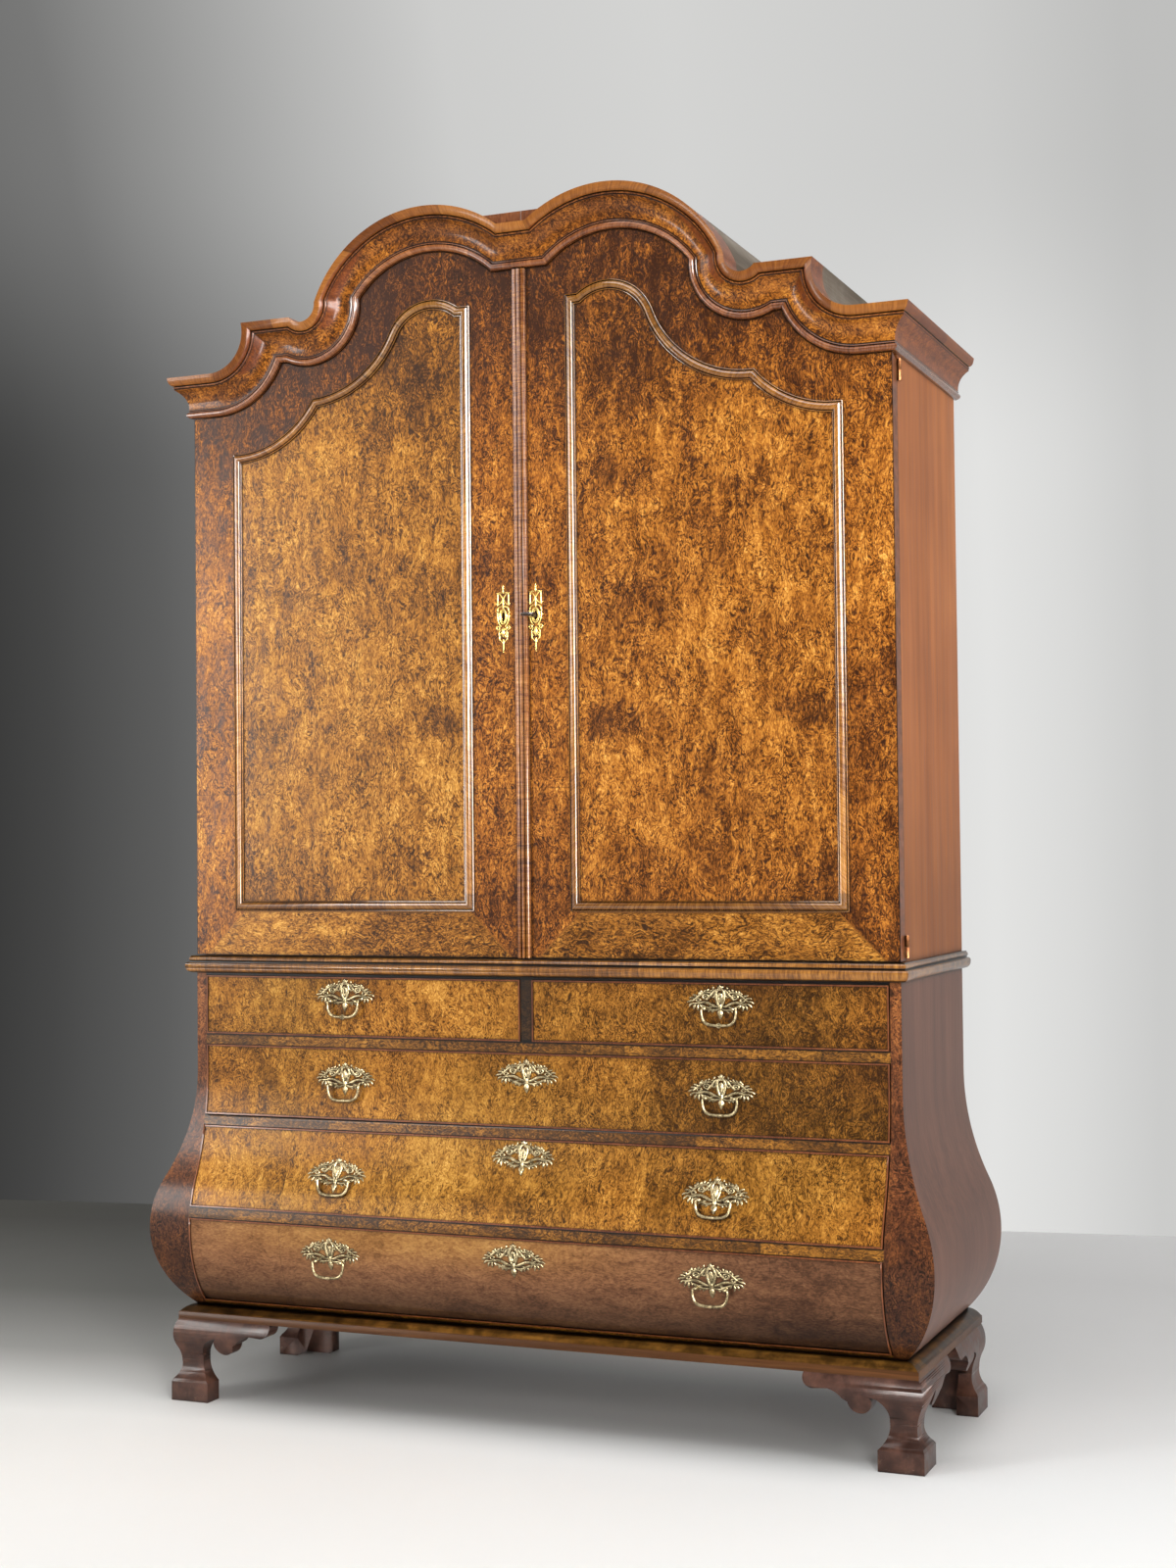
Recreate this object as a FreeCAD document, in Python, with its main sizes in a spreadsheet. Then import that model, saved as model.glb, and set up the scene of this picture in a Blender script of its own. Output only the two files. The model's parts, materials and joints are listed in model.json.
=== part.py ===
import FreeCAD, Part
import math
import os
import re

# A Dutch kas: an arched two-door cupboard on a chest of drawers whose front and sides swell out.
# Millimetres. X to the right, Y to the back, Z up; the origin is on the floor, under the middle.
# "Front plane" is the flat plane of the doors; depths below are counted back from it.

SIZES = {
    # the case
    "half_width": 800, "case_depth": 522, "handle_reach": 100,
    "side_wall": 23, "back_wall": 10, "board": 20, "joint_gap": 1,
    # feet and plinth
    "plinth_bottom": 177, "plinth_top": 207, "plinth_reach": 32, "plinth_width": 72,
    "fillet_height": 15, "foot_reach": 43.5, "foot_wall": 46, "foot_block": 92,
    "foot_block_height": 41, "bracket_length": 242, "bracket_depth": 29,
    "ankle_reach": 26.5, "foot_bulge": 41, "rear_foot_width": 110, "rear_foot_setback": 10,
    # the swelling of the drawer case, the same on the front and on both sides
    "swell_depth": 76.5, "swell_peak": 383, "swell_start": 720, "swell_radius": 245,
    # drawer rows, from the top
    "row_1_low": 802.5, "row_1_high": 930.5, "row_2_low": 626, "row_2_high": 778,
    "row_3_low": 432, "row_3_high": 602, "row_4_low": 217.5, "row_4_high": 407,
    "drawer_gap": 2, "divider_half": 12.6, "rail_depth": 60, "runner_width": 42,
    "runner_height": 16, "front_thick": 22, "drawer_side": 12, "drawer_bottom": 8,
    "drawer_length": 470, "drawer_drop": 14, "slide_play": 0.3, "side_play": 2,
    "bead_width": 3, "bead_proud": 2.5, "drawer_lock_wide": 60, "drawer_lock_high": 42,
    "drawer_lock_deep": 8,
    # waist moulding
    "waist_bottom": 936, "waist_top": 974, "waist_reach": 19,
    # upper case
    "door_low": 976.5, "door_thick": 35, "door_front_gap": 1, "door_top_gap": 2,
    "door_bevel": 12, "header_drop": 42, "header_thick": 20, "shelf_setback": 60,
    "shelves": 3, "shelf_drop": 132, "back_boards": 5,
    # the cornice; levels run from the underside of its bead up to its top edge
    "cornice_height": 88, "cornice_reach": 44, "cornice_back": 10, "roof_thick": 12,
    "bead_height": 18, "platform_rise": 105, "platform_thick": 20, "platform_half": 96,
    "platform_front": 10, "platform_depth": 240,
    # its skyline: the height at the ends, and what rises above it on a case of half width pattern_half
    "end_height": 2172, "pattern_half": 800, "dip_rise": 251, "ledge_rise": 105,
    "arch_x": 210.7, "arch_rise": 95.7, "arch_radius": 214.3,
    "arch_x_top": 205.7, "arch_rise_top": 115.7, "arch_lap_top": 3.6,
    "hollow_x": 504, "hollow_rise": 216, "hollow_radius": 124,
    "step_x": 735, "step_radius": 173,
    # door panels and the strip where the doors meet
    "stile_width": 101, "panel_bottom": 1073, "panel_rise": 185, "moulding_width": 22,
    "moulding_high": 9.5, "panel_meet_left": 116, "panel_meet_right": 104,
    "panel_arch_inset": 93, "panel_arch_rise": 97, "panel_arch_radius": 110,
    "panel_hollow_x": 505, "panel_hollow_radius": 218, "panel_end_x": 686,
    "panel_end_rise": 132, "panel_end_radius": 220, "field_thick": 24,
    "strip_half": 14.5, "strip_proud": 10, "strip_foot": 6, "meeting_gap": 0.5,
    # door hinges, lock and key
    "hinge_out": 4.5, "knuckle_radius": 4, "pin_radius": 2, "pin_play": 0.06,
    "knuckle_height": 22, "hinge_drop": 30, "hinge_rise": 30, "leaf_width": 20,
    "leaf_thick": 2, "plate_thick": 1.6, "lock_x": 31, "lock_z": 1690, "lock_half": 50,
    "lock_left": 2, "lock_right": 60, "lock_deep": 15, "lock_wall": 3,
    "ward_radius": 15, "bolt_rise": 18, "bolt_tall": 14, "bolt_length": 48,
    "bolt_play": 0.3, "keeper_left": 30, "keeper_right": 16, "keeper_wall": 6,
    "shank_radius": 3, "shank_play": 0.08, "key_reach": 24, "bow_half": 17, "bow_wire": 2.4,
    "bit_length": 12, "bit_wide": 6, "bit_thick": 3, "keyhole_radius": 4,
    "escutcheon_left_x": 43.5, "escutcheon_up": 67, "escutcheon_down": 77, "escutcheon_half": 16,
    # drawer handles
    "handle_x": 428, "handle_1_z": 893, "handle_2_z": 713, "handle_3_z": 513,
    "handle_4_z": 350, "escutcheon_2_z": 732, "escutcheon_3_z": 566, "escutcheon_4_z": 363,
    "plate_half": 64, "plate_up": 33, "plate_down": 35, "post_x": 33, "post_drop": 14,
    "post_half": 2.4, "post_stand": 12, "eye_half_high": 4, "eye_half": 3.4, "bail_x": 40, "bail_drop": 33,
    "bail_corner": 15, "bail_radius": 2.7, "bail_pin": 1.5, "bail_play": 0.06,
    "bail_lean_3": 11,
}

DOC = FreeCAD.newDocument("kas_cupboard")
SHEET = DOC.addObject("Spreadsheet::Sheet", "sizes")
NODES = {}


class Sizes:
    """The values of the spreadsheet by name."""

    def __getattr__(self, name):
        return float(SHEET.get(name))


def fill_sheet():
    for row, (name, value) in enumerate(SIZES.items(), start=1):
        SHEET.set(f"A{row}", name)
        SHEET.set(f"B{row}", str(value))
        SHEET.setAlias(f"B{row}", name)
    DOC.recompute()


fill_sheet()
size = Sizes()
FRONT = "(handle_reach - case_depth) / 2"
front = (size.handle_reach - size.case_depth) / 2
FAR = 3000


# ---------------------------------------------------------------- helpers

def bound(expression):
    """Turn the names in an expression into references to the sheet."""
    return re.sub(r"[a-z][a-z_0-9]*", lambda word: "sizes." + word.group(), expression)


def board(label, x_range, y_range, z_range):
    """A rectangular board between two expressions on each axis; depths count from the front plane."""
    box = DOC.addObject("Part::Box", label)
    y_range = [f"{FRONT} + {y}" for y in y_range]
    for axis, side, ends in zip("xyz", ("Length", "Width", "Height"), (x_range, y_range, z_range)):
        low, high = ends
        box.setExpression(side, bound(f"({high}) - ({low})"))
        box.setExpression(f"Placement.Base.{axis}", bound(low))
    return box


def shaped(label, shape):
    """A piece whose form is worked out from the sheet."""
    piece = DOC.addObject("Part::Feature", label)
    piece.Shape = shape
    return piece


def node(label, *pieces):
    """Name a sub-part: one piece, or several separate solids kept together."""
    if len(pieces) == 1:
        part = pieces[0]
    else:
        part = DOC.addObject("Part::Compound", label)
        part.Links = list(pieces)
    part.Label = label
    NODES[label] = part
    return part


def outline(place, start, *steps):
    """Edges through the given points; a step of two points is an arc by way of the first."""
    edges = []
    here = start
    for step in steps:
        if isinstance(step[0], tuple):
            via, there = step
            edges.append(Part.Arc(place(*here), place(*via), place(*there)).toShape())
        else:
            there = step
            edges.append(Part.LineSegment(place(*here), place(*there)).toShape())
        here = there
    return edges


def face_of(edges):
    return Part.Face(Part.Wire(Part.sortEdges(edges)[0]))


def solid_of(faces):
    """Sew faces that meet edge to edge into one solid."""
    skin = Part.Compound(faces)
    skin.sewShape()
    body = Part.Solid(Part.Shell(skin.Faces))
    if body.Volume < 0:
        body.reverse()
    return body


def block(x0, x1, y0, y1, z0, z1):
    """A plain box; depths count from the front plane."""
    corner = FreeCAD.Vector(x0, front + y0, z0)
    return Part.makeBox(x1 - x0, y1 - y0, z1 - z0, corner)


def rod(radius, start, end):
    """A round rod between two points."""
    path = end - start
    return Part.makeCylinder(radius, path.Length, start, path)


def mirrored(shape):
    return shape.mirror(FreeCAD.Vector(0, 0, 0), FreeCAD.Vector(1, 0, 0))


# ---------------------------------------------------------------- the swelling

def swell_joint(proud):
    """Height where the hollow curve hands over to the round one, for a surface set out by proud."""
    rise = size.swell_start - size.swell_peak
    radii = (rise ** 2 / size.swell_depth + size.swell_depth) / 2
    return size.swell_peak + rise * (size.swell_radius + proud) / radii


def swell(height, proud=0):
    """How far the case stands out from the front plane, or from its side, at a height."""
    rise = size.swell_start - size.swell_peak
    hollow = (rise ** 2 / size.swell_depth + size.swell_depth) / 2 - size.swell_radius
    if height >= size.swell_start:
        return proud
    if height >= swell_joint(proud):
        return hollow - math.sqrt((hollow - proud) ** 2 - (size.swell_start - height) ** 2)
    middle = size.swell_depth - size.swell_radius
    radius = size.swell_radius + proud
    return middle + math.sqrt(radius ** 2 - (height - size.swell_peak) ** 2)


def swell_edges(low, high, proud, place):
    """The curve of the swelling between two heights; place turns (reach, height) into a point."""
    turns = [t for t in (swell_joint(proud), size.swell_start) if low < t < high]
    heights = [low, *turns, high]
    edges = []
    for start, end in zip(heights, heights[1:]):
        ends = [place(swell(z, proud), z) for z in (start, end)]
        if start >= size.swell_start:
            edges.append(Part.LineSegment(*ends).toShape())
        else:
            middle = (start + end) / 2
            via = place(swell(middle, proud), middle)
            edges.append(Part.Arc(ends[0], via, ends[1]).toShape())
    return edges


def swelled_slab(x0, x1, low, high, proud, depth):
    """A piece across the front: its face follows the swelling and its back is flat."""
    def place(reach, height):
        return FreeCAD.Vector(x0, front - reach, height)

    edges = swell_edges(low, high, proud, place)
    edges += outline(place, (swell(high, proud), high), (-depth, high), (-depth, low),
                     (swell(low, proud), low))
    return face_of(edges).extrude(FreeCAD.Vector(x1 - x0, 0, 0))


# ---------------------------------------------------------------- mitred runs

def mitred_runs(profile, run_back):
    """Sweep a profile of (reach, height) steps round the front and both sides, with mitred corners."""
    start, steps = profile[0], profile[1:]
    wide = size.half_width + FAR

    def across(reach, height):
        return FreeCAD.Vector(-wide, front - reach, height)

    def along(reach, height):
        return FreeCAD.Vector(size.half_width + reach, front - FAR, height)

    run = face_of(outline(across, start, *steps)).extrude(FreeCAD.Vector(2 * wide, 0, 0))
    side = face_of(outline(along, start, *steps)).extrude(FreeCAD.Vector(0, 2 * FAR, 0))
    half, spread = size.half_width, size.half_width - 1

    def plan(x, y):
        return FreeCAD.Vector(x, front + y, 0)

    wedge = face_of(outline(plan, (-half - spread, -spread), (half + spread, -spread),
                            (half - spread, spread), (spread - half, spread),
                            (-half - spread, -spread)))
    wedge = wedge.extrude(FreeCAD.Vector(0, 0, FAR))
    stop = block(0, wide, -spread, run_back, 0, FAR)
    right = side.cut(wedge).common(stop)
    return [run.common(wedge), mirrored(right), right]


# ---------------------------------------------------------------- feet and plinth

def foot_bracket():
    """The scalloped lower edge of a bracket, from its tip back to the foot's outer corner."""
    tip, lip = size.bracket_length, size.plinth_bottom - size.bracket_depth
    block_width, block_top = size.foot_block, size.foot_block_height
    ankle = block_width - 21
    return [
        (tip, size.plinth_bottom),
        ((tip - 4, lip + 7), (tip - 21, lip)), (tip - 50, lip + 2),
        ((tip - 66, lip - 4), (tip - 79, lip - 15)), (tip - 90, lip - 21),
        ((tip - 120, lip - 43), (tip - 137, lip - 21)),
        ((tip - 137, lip - 15), (tip - 131, lip - 9)),
        ((tip - 162, lip - 24), (ankle, (block_top + lip) / 2)),
        ((ankle + 4, block_top + 24), (block_width - 4, block_top + 4)),
        (block_width, block_top), (block_width, 0), (0, 0),
    ]


def ogee(place):
    """The S-shaped outer face of a foot, from the floor up to the plinth."""
    top, block_top, out = size.plinth_bottom, size.foot_block_height, size.foot_reach
    ankle, waist = size.ankle_reach, (size.ankle_reach + size.foot_bulge) / 2
    return outline(place, (out, 0), (out, block_top), (out - 3, block_top + 6),
                   ((ankle + 3, block_top + 21), (ankle, block_top + 44)),
                   ((ankle + 2, block_top + 59), (waist, top - 62)),
                   ((size.foot_bulge, top - 30), (size.plinth_reach, top)))


def ogee_board(place, direction):
    """A board with the ogee on its outer face, long enough for any bracket."""
    wall = size.foot_reach - size.foot_wall
    edges = ogee(place) + outline(place, (size.plinth_reach, size.plinth_bottom),
                                  (wall, size.plinth_bottom), (wall, 0), (size.foot_reach, 0))
    return face_of(edges).extrude(direction)


def foot(rear):
    """A right-hand foot: side and front boards, or a side board with a plain board behind."""
    half, out, top = size.half_width, size.foot_reach, size.plinth_bottom
    x_way, y_way = FreeCAD.Vector(2 * FAR, 0, 0), FreeCAD.Vector(0, 2 * FAR, 0)
    rear_face = size.case_depth - size.rear_foot_setback

    def side_profile(reach, height):
        return FreeCAD.Vector(half + reach, front - FAR, height)

    def front_profile(reach, height):
        return FreeCAD.Vector(0, front - reach, height)

    def on_side(run, height):
        depth = rear_face - run if rear else run - out
        return FreeCAD.Vector(0, front + depth, height)

    def facing(run, height):
        return FreeCAD.Vector(half + out - run, front - FAR, height)

    steps = foot_bracket()
    side = ogee_board(side_profile, y_way)
    if rear:
        mask = outline(on_side, (0, 0), (0, top), *steps)
        side = side.common(face_of(mask).extrude(x_way))
        shell = outline(side_profile, (size.plinth_reach, top), (-half, top), (-half, 0), (out, 0))
        behind = block(half + out - size.rear_foot_width, half + out,
                       rear_face - size.foot_wall, rear_face, 0, top)
        behind = behind.common(face_of(ogee(side_profile) + shell).extrude(y_way))
        return side.fuse(behind).removeSplitter()
    corner = (out - size.plinth_reach, top)
    side_mask = ogee(front_profile) + outline(on_side, corner, *steps)
    front_mask = ogee(side_profile) + outline(facing, corner, *steps)
    side = side.common(face_of(side_mask).extrude(x_way))
    face = ogee_board(front_profile, x_way).common(face_of(front_mask).extrude(y_way))
    return face.fuse(side).removeSplitter()


def build_feet():
    for place, rear in (("front", False), ("rear", True)):
        right = foot(rear)
        node(f"foot_{place}_right", shaped(f"foot_{place}_right", right))
        node(f"foot_{place}_left", shaped(f"foot_{place}_left", mirrored(right)))


def build_plinth():
    """A moulded frame the case stands on; its back rail is plain."""
    low, high, reach = size.plinth_bottom, size.plinth_top, size.plinth_reach
    inner, lip = reach - size.plinth_width, low + size.fillet_height
    profile = [(inner, low), (reach, low), (reach, lip), (reach - 3, lip + 1.5),
               ((reach / 2, high - 3.6), (0, high)), (inner, high), (inner, low)]
    pieces = [shaped(f"plinth_run_{i}", run)
              for i, run in enumerate(mitred_runs(profile, size.case_depth))]
    half = "half_width + plinth_reach - plinth_width"
    rail = board("plinth_back", (f"-({half})", half),
                 ("case_depth - rail_depth", "case_depth"), ("plinth_bottom", "plinth_top"))
    node("plinth_frame", *pieces, rail)


# ---------------------------------------------------------------- the drawer case

def build_lower_sides():
    """Side boards, flat inside and swelling outside, with the corner mitred into the front."""
    low, high = size.plinth_top, size.waist_top
    wall = -size.side_wall

    def beside(reach, height):
        return FreeCAD.Vector(size.half_width + reach, front - FAR, height)

    edges = swell_edges(low, high, 0, beside)
    edges += outline(beside, (0, high), (wall, high), (wall, low), (swell(low), low))
    side = face_of(edges).extrude(FreeCAD.Vector(0, 2 * FAR, 0))
    right = side.common(swelled_slab(0, FAR, low, high, 0, size.case_depth))
    node("lower_right_side", shaped("lower_right_side", right))
    node("lower_left_side", shaped("lower_left_side", mirrored(right)))


def row_edges(row):
    """Low and high edges of a drawer row, counted from the top."""
    return getattr(size, f"row_{row}_low"), getattr(size, f"row_{row}_high")


def build_drawer_case():
    """Rails across the front, the divider, runners, and the boards that close the case."""
    gap, inner = size.joint_gap, size.half_width - size.side_wall
    ceiling = size.waist_top - size.board
    rails = []
    for row in (1, 2, 3, 4):
        low, high = row_edges(row)
        rail = swelled_slab(-inner, inner, high + gap, ceiling, 0, size.rail_depth)
        rails.append(shaped(f"rail_{row}", rail))
        ceiling = low - gap
    bottom = swelled_slab(-inner, inner, size.plinth_top, ceiling, 0, size.rail_depth)
    rails.append(shaped("bottom_rail", bottom))
    rear = "case_depth - back_wall"
    divider = board("divider", ("-divider_half", "divider_half"), ("0", rear),
                    ("row_1_low - joint_gap", "row_1_high + joint_gap"))
    node("drawer_rails", *rails, divider)

    wall = "half_width - side_wall"
    deep = ("rail_depth", rear)
    runners = []
    for row in (1, 2, 3):
        top = f"row_{row}_low - joint_gap"
        level = (f"{top} - runner_height", top)
        runners.append(board(f"runner_{row}_left", (f"-({wall})", f"runner_width - ({wall})"),
                             deep, level))
        runners.append(board(f"runner_{row}_right", (f"{wall} - runner_width", wall),
                             deep, level))
    runners.append(board("runner_1_middle", ("-runner_width", "runner_width"), deep,
                         ("row_1_low - joint_gap - runner_height", "row_1_low - joint_gap")))
    node("drawer_runners", *runners)

    across = (f"-({wall})", wall)
    floor = board("case_floor", across, deep, ("plinth_top", "row_4_low - joint_gap"))
    top = board("case_top", across, ("0", rear), ("waist_top - board", "waist_top"))
    closing = board("case_back", across, (rear, "case_depth"), ("plinth_top", "waist_top"))
    node("lower_boards", floor, top, closing)


def build_waist():
    low, high, reach = size.waist_bottom, size.waist_top, size.waist_reach
    nose = (low + high) / 2 - 4
    profile = [(0, low), (reach - 12, low + 1), ((reach - 3, low + 6), (reach, nose)),
               ((reach - 1.5, nose + 7), (reach - 8, nose + 9)), (reach - 8, nose + 11),
               ((reach - 6, high - 6), (reach - 9, high - 2)), (reach - 9, high),
               (0, high), (0, low)]
    pieces = [shaped(f"waist_run_{i}", run)
              for i, run in enumerate(mitred_runs(profile, size.case_depth))]
    node("waist_moulding", *pieces)


# ---------------------------------------------------------------- drawers

def drawer_front(name, x0, x1, low, high):
    """The front board and the thin beads that frame it, both following the swelling."""
    thin, thick, proud = size.bead_width, size.front_thick, size.bead_proud
    field = swelled_slab(x0 + thin, x1 - thin, low + thin, high - thin, 0, thick)
    node(f"{name}_front", shaped(f"{name}_front", field))
    beads = [swelled_slab(x0, x0 + thin, low, high, proud, thick),
             swelled_slab(x1 - thin, x1, low, high, proud, thick),
             swelled_slab(x0 + thin, x1 - thin, low, low + thin, proud, thick),
             swelled_slab(x0 + thin, x1 - thin, high - thin, high, proud, thick)]
    node(f"{name}_cockbead", *[shaped(f"{name}_bead_{i}", bead) for i, bead in enumerate(beads)])


def drawer_box(name, x0, x1, row, lock_x):
    """Sides, back and bottom behind the front, and the lock on the back of the front."""
    low = f"row_{row}_low - joint_gap + slide_play"
    high = f"row_{row}_high - drawer_drop"
    left, right = f"{x0} + side_play", f"{x1} - side_play"
    inner = (f"{left} + drawer_side", f"{right} - drawer_side")
    start, end = "front_thick", "front_thick + drawer_length"
    lock_top = f"{high} - drawer_bottom / 2"
    node(f"{name}_box",
         board(f"{name}_side_left", (left, inner[0]), (start, end), (low, high)),
         board(f"{name}_side_right", (inner[1], right), (start, end), (low, high)),
         board(f"{name}_back", inner, (f"{end} - drawer_side", end), (low, high)),
         board(f"{name}_bottom", inner, (start, f"{end} - drawer_side"),
               (low, f"{low} + drawer_bottom")),
         board(f"{name}_lock", (f"{lock_x} - drawer_lock_wide / 2",
                                f"{lock_x} + drawer_lock_wide / 2"),
               (start, f"{start} + drawer_lock_deep"),
               (f"{lock_top} - drawer_lock_high", lock_top)))


def keyhole(x, z):
    """A round hole with a slot below it, cut through along Y."""
    radius, slot = size.keyhole_radius * 0.65, size.keyhole_radius * 2.2
    hole = rod(radius, FreeCAD.Vector(x, front - FAR, z), FreeCAD.Vector(x, front + FAR, z))
    return hole.fuse(block(x - radius * 0.6, x + radius * 0.6, -FAR, FAR, z - slot, z))


def cut_plate(half, x, z, piercings=()):
    """A symmetrical plate, cut right through along Y; both lists hold points right of the middle."""
    def place(across, rise):
        return FreeCAD.Vector(x + across, front - FAR, z + rise)

    def other_side(points):
        return [(-across, rise) for across, rise in reversed(points)]

    through = FreeCAD.Vector(0, 2 * FAR, 0)
    plate = face_of(outline(place, *half, *other_side(half[1:-1]), half[0])).extrude(through)
    for across, rise, wide, high in piercings:
        lozenge = [(across - wide, rise), (across, rise + high), (across + wide, rise),
                   (across, rise - high)]
        for points in (lozenge, other_side(lozenge)):
            plate = plate.cut(face_of(outline(place, *points, points[0])).extrude(through))
    return plate


def drawer_plate(x, z, locked):
    """A rococo drawer plate, bent to the drawer front it lies on."""
    wide, up, down = size.plate_half, size.plate_up, size.plate_down
    half = [(0, up), (0.22 * wide, 0.60 * up), (0.58 * wide, 0.52 * up), (wide, 0.10 * up),
            (0.90 * wide, -0.16 * down), (0.60 * wide, -0.58 * down),
            (0.22 * wide, -0.54 * down), (0, -down)]
    low, high, spread = z - 2 * down, z + 2 * up, 2 * wide
    skin = swelled_slab(x - spread, x + spread, low, high, size.plate_thick, size.front_thick)
    skin = skin.cut(swelled_slab(x - spread, x + spread, low, high, 0, 2 * size.front_thick))
    plate = cut_plate(half, x, z).common(skin)
    return plate.cut(keyhole(x, z + 0.1 * up)) if locked else plate


def pivot(x, z):
    """Foot and head of a handle's posts: the head is where the bail turns."""
    height = z - size.post_drop
    lean = (swell(height - 5) - swell(height + 5)) / 10
    normal = FreeCAD.Vector(0, -1, lean)
    normal.normalize()
    foot_point = FreeCAD.Vector(x, front - swell(height), height)
    return foot_point, foot_point + normal * size.post_stand


def handle_posts(x, z):
    """Two posts seated on the wood, each with an eye bored for an end of the bail."""
    spread = 2 * size.post_x
    wood = swelled_slab(x - spread, x + spread, z - spread, z + spread, 0, size.front_thick)
    posts = []
    for side in (-1, 1):
        foot_point, head = pivot(x + side * size.post_x, z)
        out = (head - foot_point).normalize()
        up = out.cross(FreeCAD.Vector(1, 0, 0))
        bore_reach = FreeCAD.Vector(2 * size.eye_half, 0, 0)
        bore = rod(size.bail_pin + size.bail_play, head - bore_reach, head + bore_reach)

        def bar(half_wide, half_high, start, end):
            across, rise = FreeCAD.Vector(half_wide, 0, 0), up * half_high
            corners = [start - across - rise, start + across - rise,
                       start + across + rise, start - across + rise]
            return Part.Face(Part.makePolygon(corners + corners[:1])).extrude(end - start)

        eye_high = size.eye_half_high
        stem = bar(size.post_half, size.post_half, foot_point, head)
        eye = bar(size.eye_half, eye_high, head - out * eye_high, head + out * eye_high)
        posts.append(stem.fuse(eye).cut([bore, wood]))
    return posts


def handle_bail(x, z, lean):
    """The swinging bail: a bar bent to a U, whose ends turn in to the eyes of the posts."""
    axle = pivot(x, z)[1]
    thick = size.bail_radius

    def hang(across, down):
        return axle + FreeCAD.Vector(across, thick, -down)

    def bend(half, drop, corner):
        slant = corner * (1 - math.sqrt(0.5))
        return [(half - slant, drop - slant), (half - corner, drop), (corner - half, drop),
                (slant - half, drop - slant), (-half, drop - corner)]

    half, drop, corner = size.bail_x, size.bail_drop, size.bail_corner
    outer, inner = half + thick, half - thick
    sides = [(outer, drop - corner), *bend(outer, drop + thick, corner + thick), (-outer, -thick),
             (-inner, -thick), (-inner, drop - corner)]
    edges = outline(hang, (outer, -thick), *sides)
    edges += outline(hang, (outer, -thick), (inner, -thick), (inner, drop - corner),
                     *bend(inner, drop - thick, corner - thick))
    bail = face_of(edges).extrude(FreeCAD.Vector(0, -2 * thick, 0))
    for side in (-1, 1):
        end = axle + FreeCAD.Vector(side * half, 0, 0)
        bail = bail.fuse(rod(size.bail_pin, end, axle + FreeCAD.Vector(side * size.post_x, 0, 0)))
    bail.rotate(axle, FreeCAD.Vector(-1, 0, 0), lean)
    return bail


def build_drawers():
    """Two short drawers side by side over three long ones, each with its brasses."""
    edge, middle = "half_width - side_wall - drawer_gap", "divider_half + joint_gap"
    wide = size.half_width - size.side_wall - size.drawer_gap
    inner = size.divider_half + size.joint_gap
    drawers = [
        ("top_left", 1, (f"-({edge})", f"-({middle})"), (-wide, -inner), ("left",)),
        ("top_right", 1, (middle, edge), (inner, wide), ("right",)),
        ("second", 2, (f"-({edge})", edge), (-wide, wide), ("left", "right")),
        ("third", 3, (f"-({edge})", edge), (-wide, wide), ("left", "right")),
        ("bottom", 4, (f"-({edge})", edge), (-wide, wide), ("left", "right")),
    ]
    for word, row, ends, (x0, x1), hands in drawers:
        name = f"drawer_{word}"
        low, high = row_edges(row)
        lock_x = {"top_left": "-handle_x", "top_right": "handle_x"}.get(word, "0")
        drawer_front(name, x0, x1, low, high)
        drawer_box(name, *ends, row, lock_x)
        handle_z = getattr(size, f"handle_{row}_z")
        brasses = []
        for hand in hands:
            x = size.handle_x if hand == "right" else -size.handle_x
            posts = handle_posts(x, handle_z)
            brasses += [drawer_plate(x, handle_z, row == 1).cut(posts), *posts]
            lean = size.bail_lean_3 if row == 3 else 0
            bail = f"bail_{word.split('_')[0]}_{hand}"
            node(bail, shaped(bail, handle_bail(x, handle_z, lean)))
        if row > 1:
            brasses.append(drawer_plate(0, getattr(size, f"escutcheon_{row}_z"), True))
        node(f"{name}_brasses",
             *[shaped(f"{name}_brass_{i}", brass) for i, brass in enumerate(brasses)])


# ---------------------------------------------------------------- the skyline of the cornice

def upper_meet(first, second):
    """The higher of the two points where circles of (x, z, radius) cross."""
    (x0, z0, r0), (x1, z1, r1) = first, second
    apart = math.hypot(x1 - x0, z1 - z0)
    along = (r0 ** 2 - r1 ** 2 + apart ** 2) / (2 * apart)
    aside = math.sqrt(r0 ** 2 - along ** 2)
    ux, uz = (x1 - x0) / apart, (z1 - z0) / apart
    return x0 + along * ux - aside * uz, z0 + along * uz + aside * ux


def beside(circle, height, side):
    """The x of a circle at a height, on its left (-1) or its right (1)."""
    x, z, radius = circle
    return x + side * math.sqrt(radius ** 2 - (height - z) ** 2)


def below(circle, x):
    """The height of a circle's lower half at x."""
    return circle[1] - math.sqrt(circle[2] ** 2 - (x - circle[0]) ** 2)


def pattern_stretch():
    """How much wider or narrower the case is than the one the skyline is set out for."""
    return size.half_width / size.pattern_half


def arch_radius_top():
    """The arch's radius at the top edge: it just laps over the hollow beside it."""
    apart = math.hypot(size.hollow_x - size.arch_x_top, size.hollow_rise - size.arch_rise_top)
    return pattern_stretch() * (apart - size.hollow_radius) + size.cornice_height + size.arch_lap_top


def dip_height():
    return size.end_height + pattern_stretch() * size.dip_rise


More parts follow.
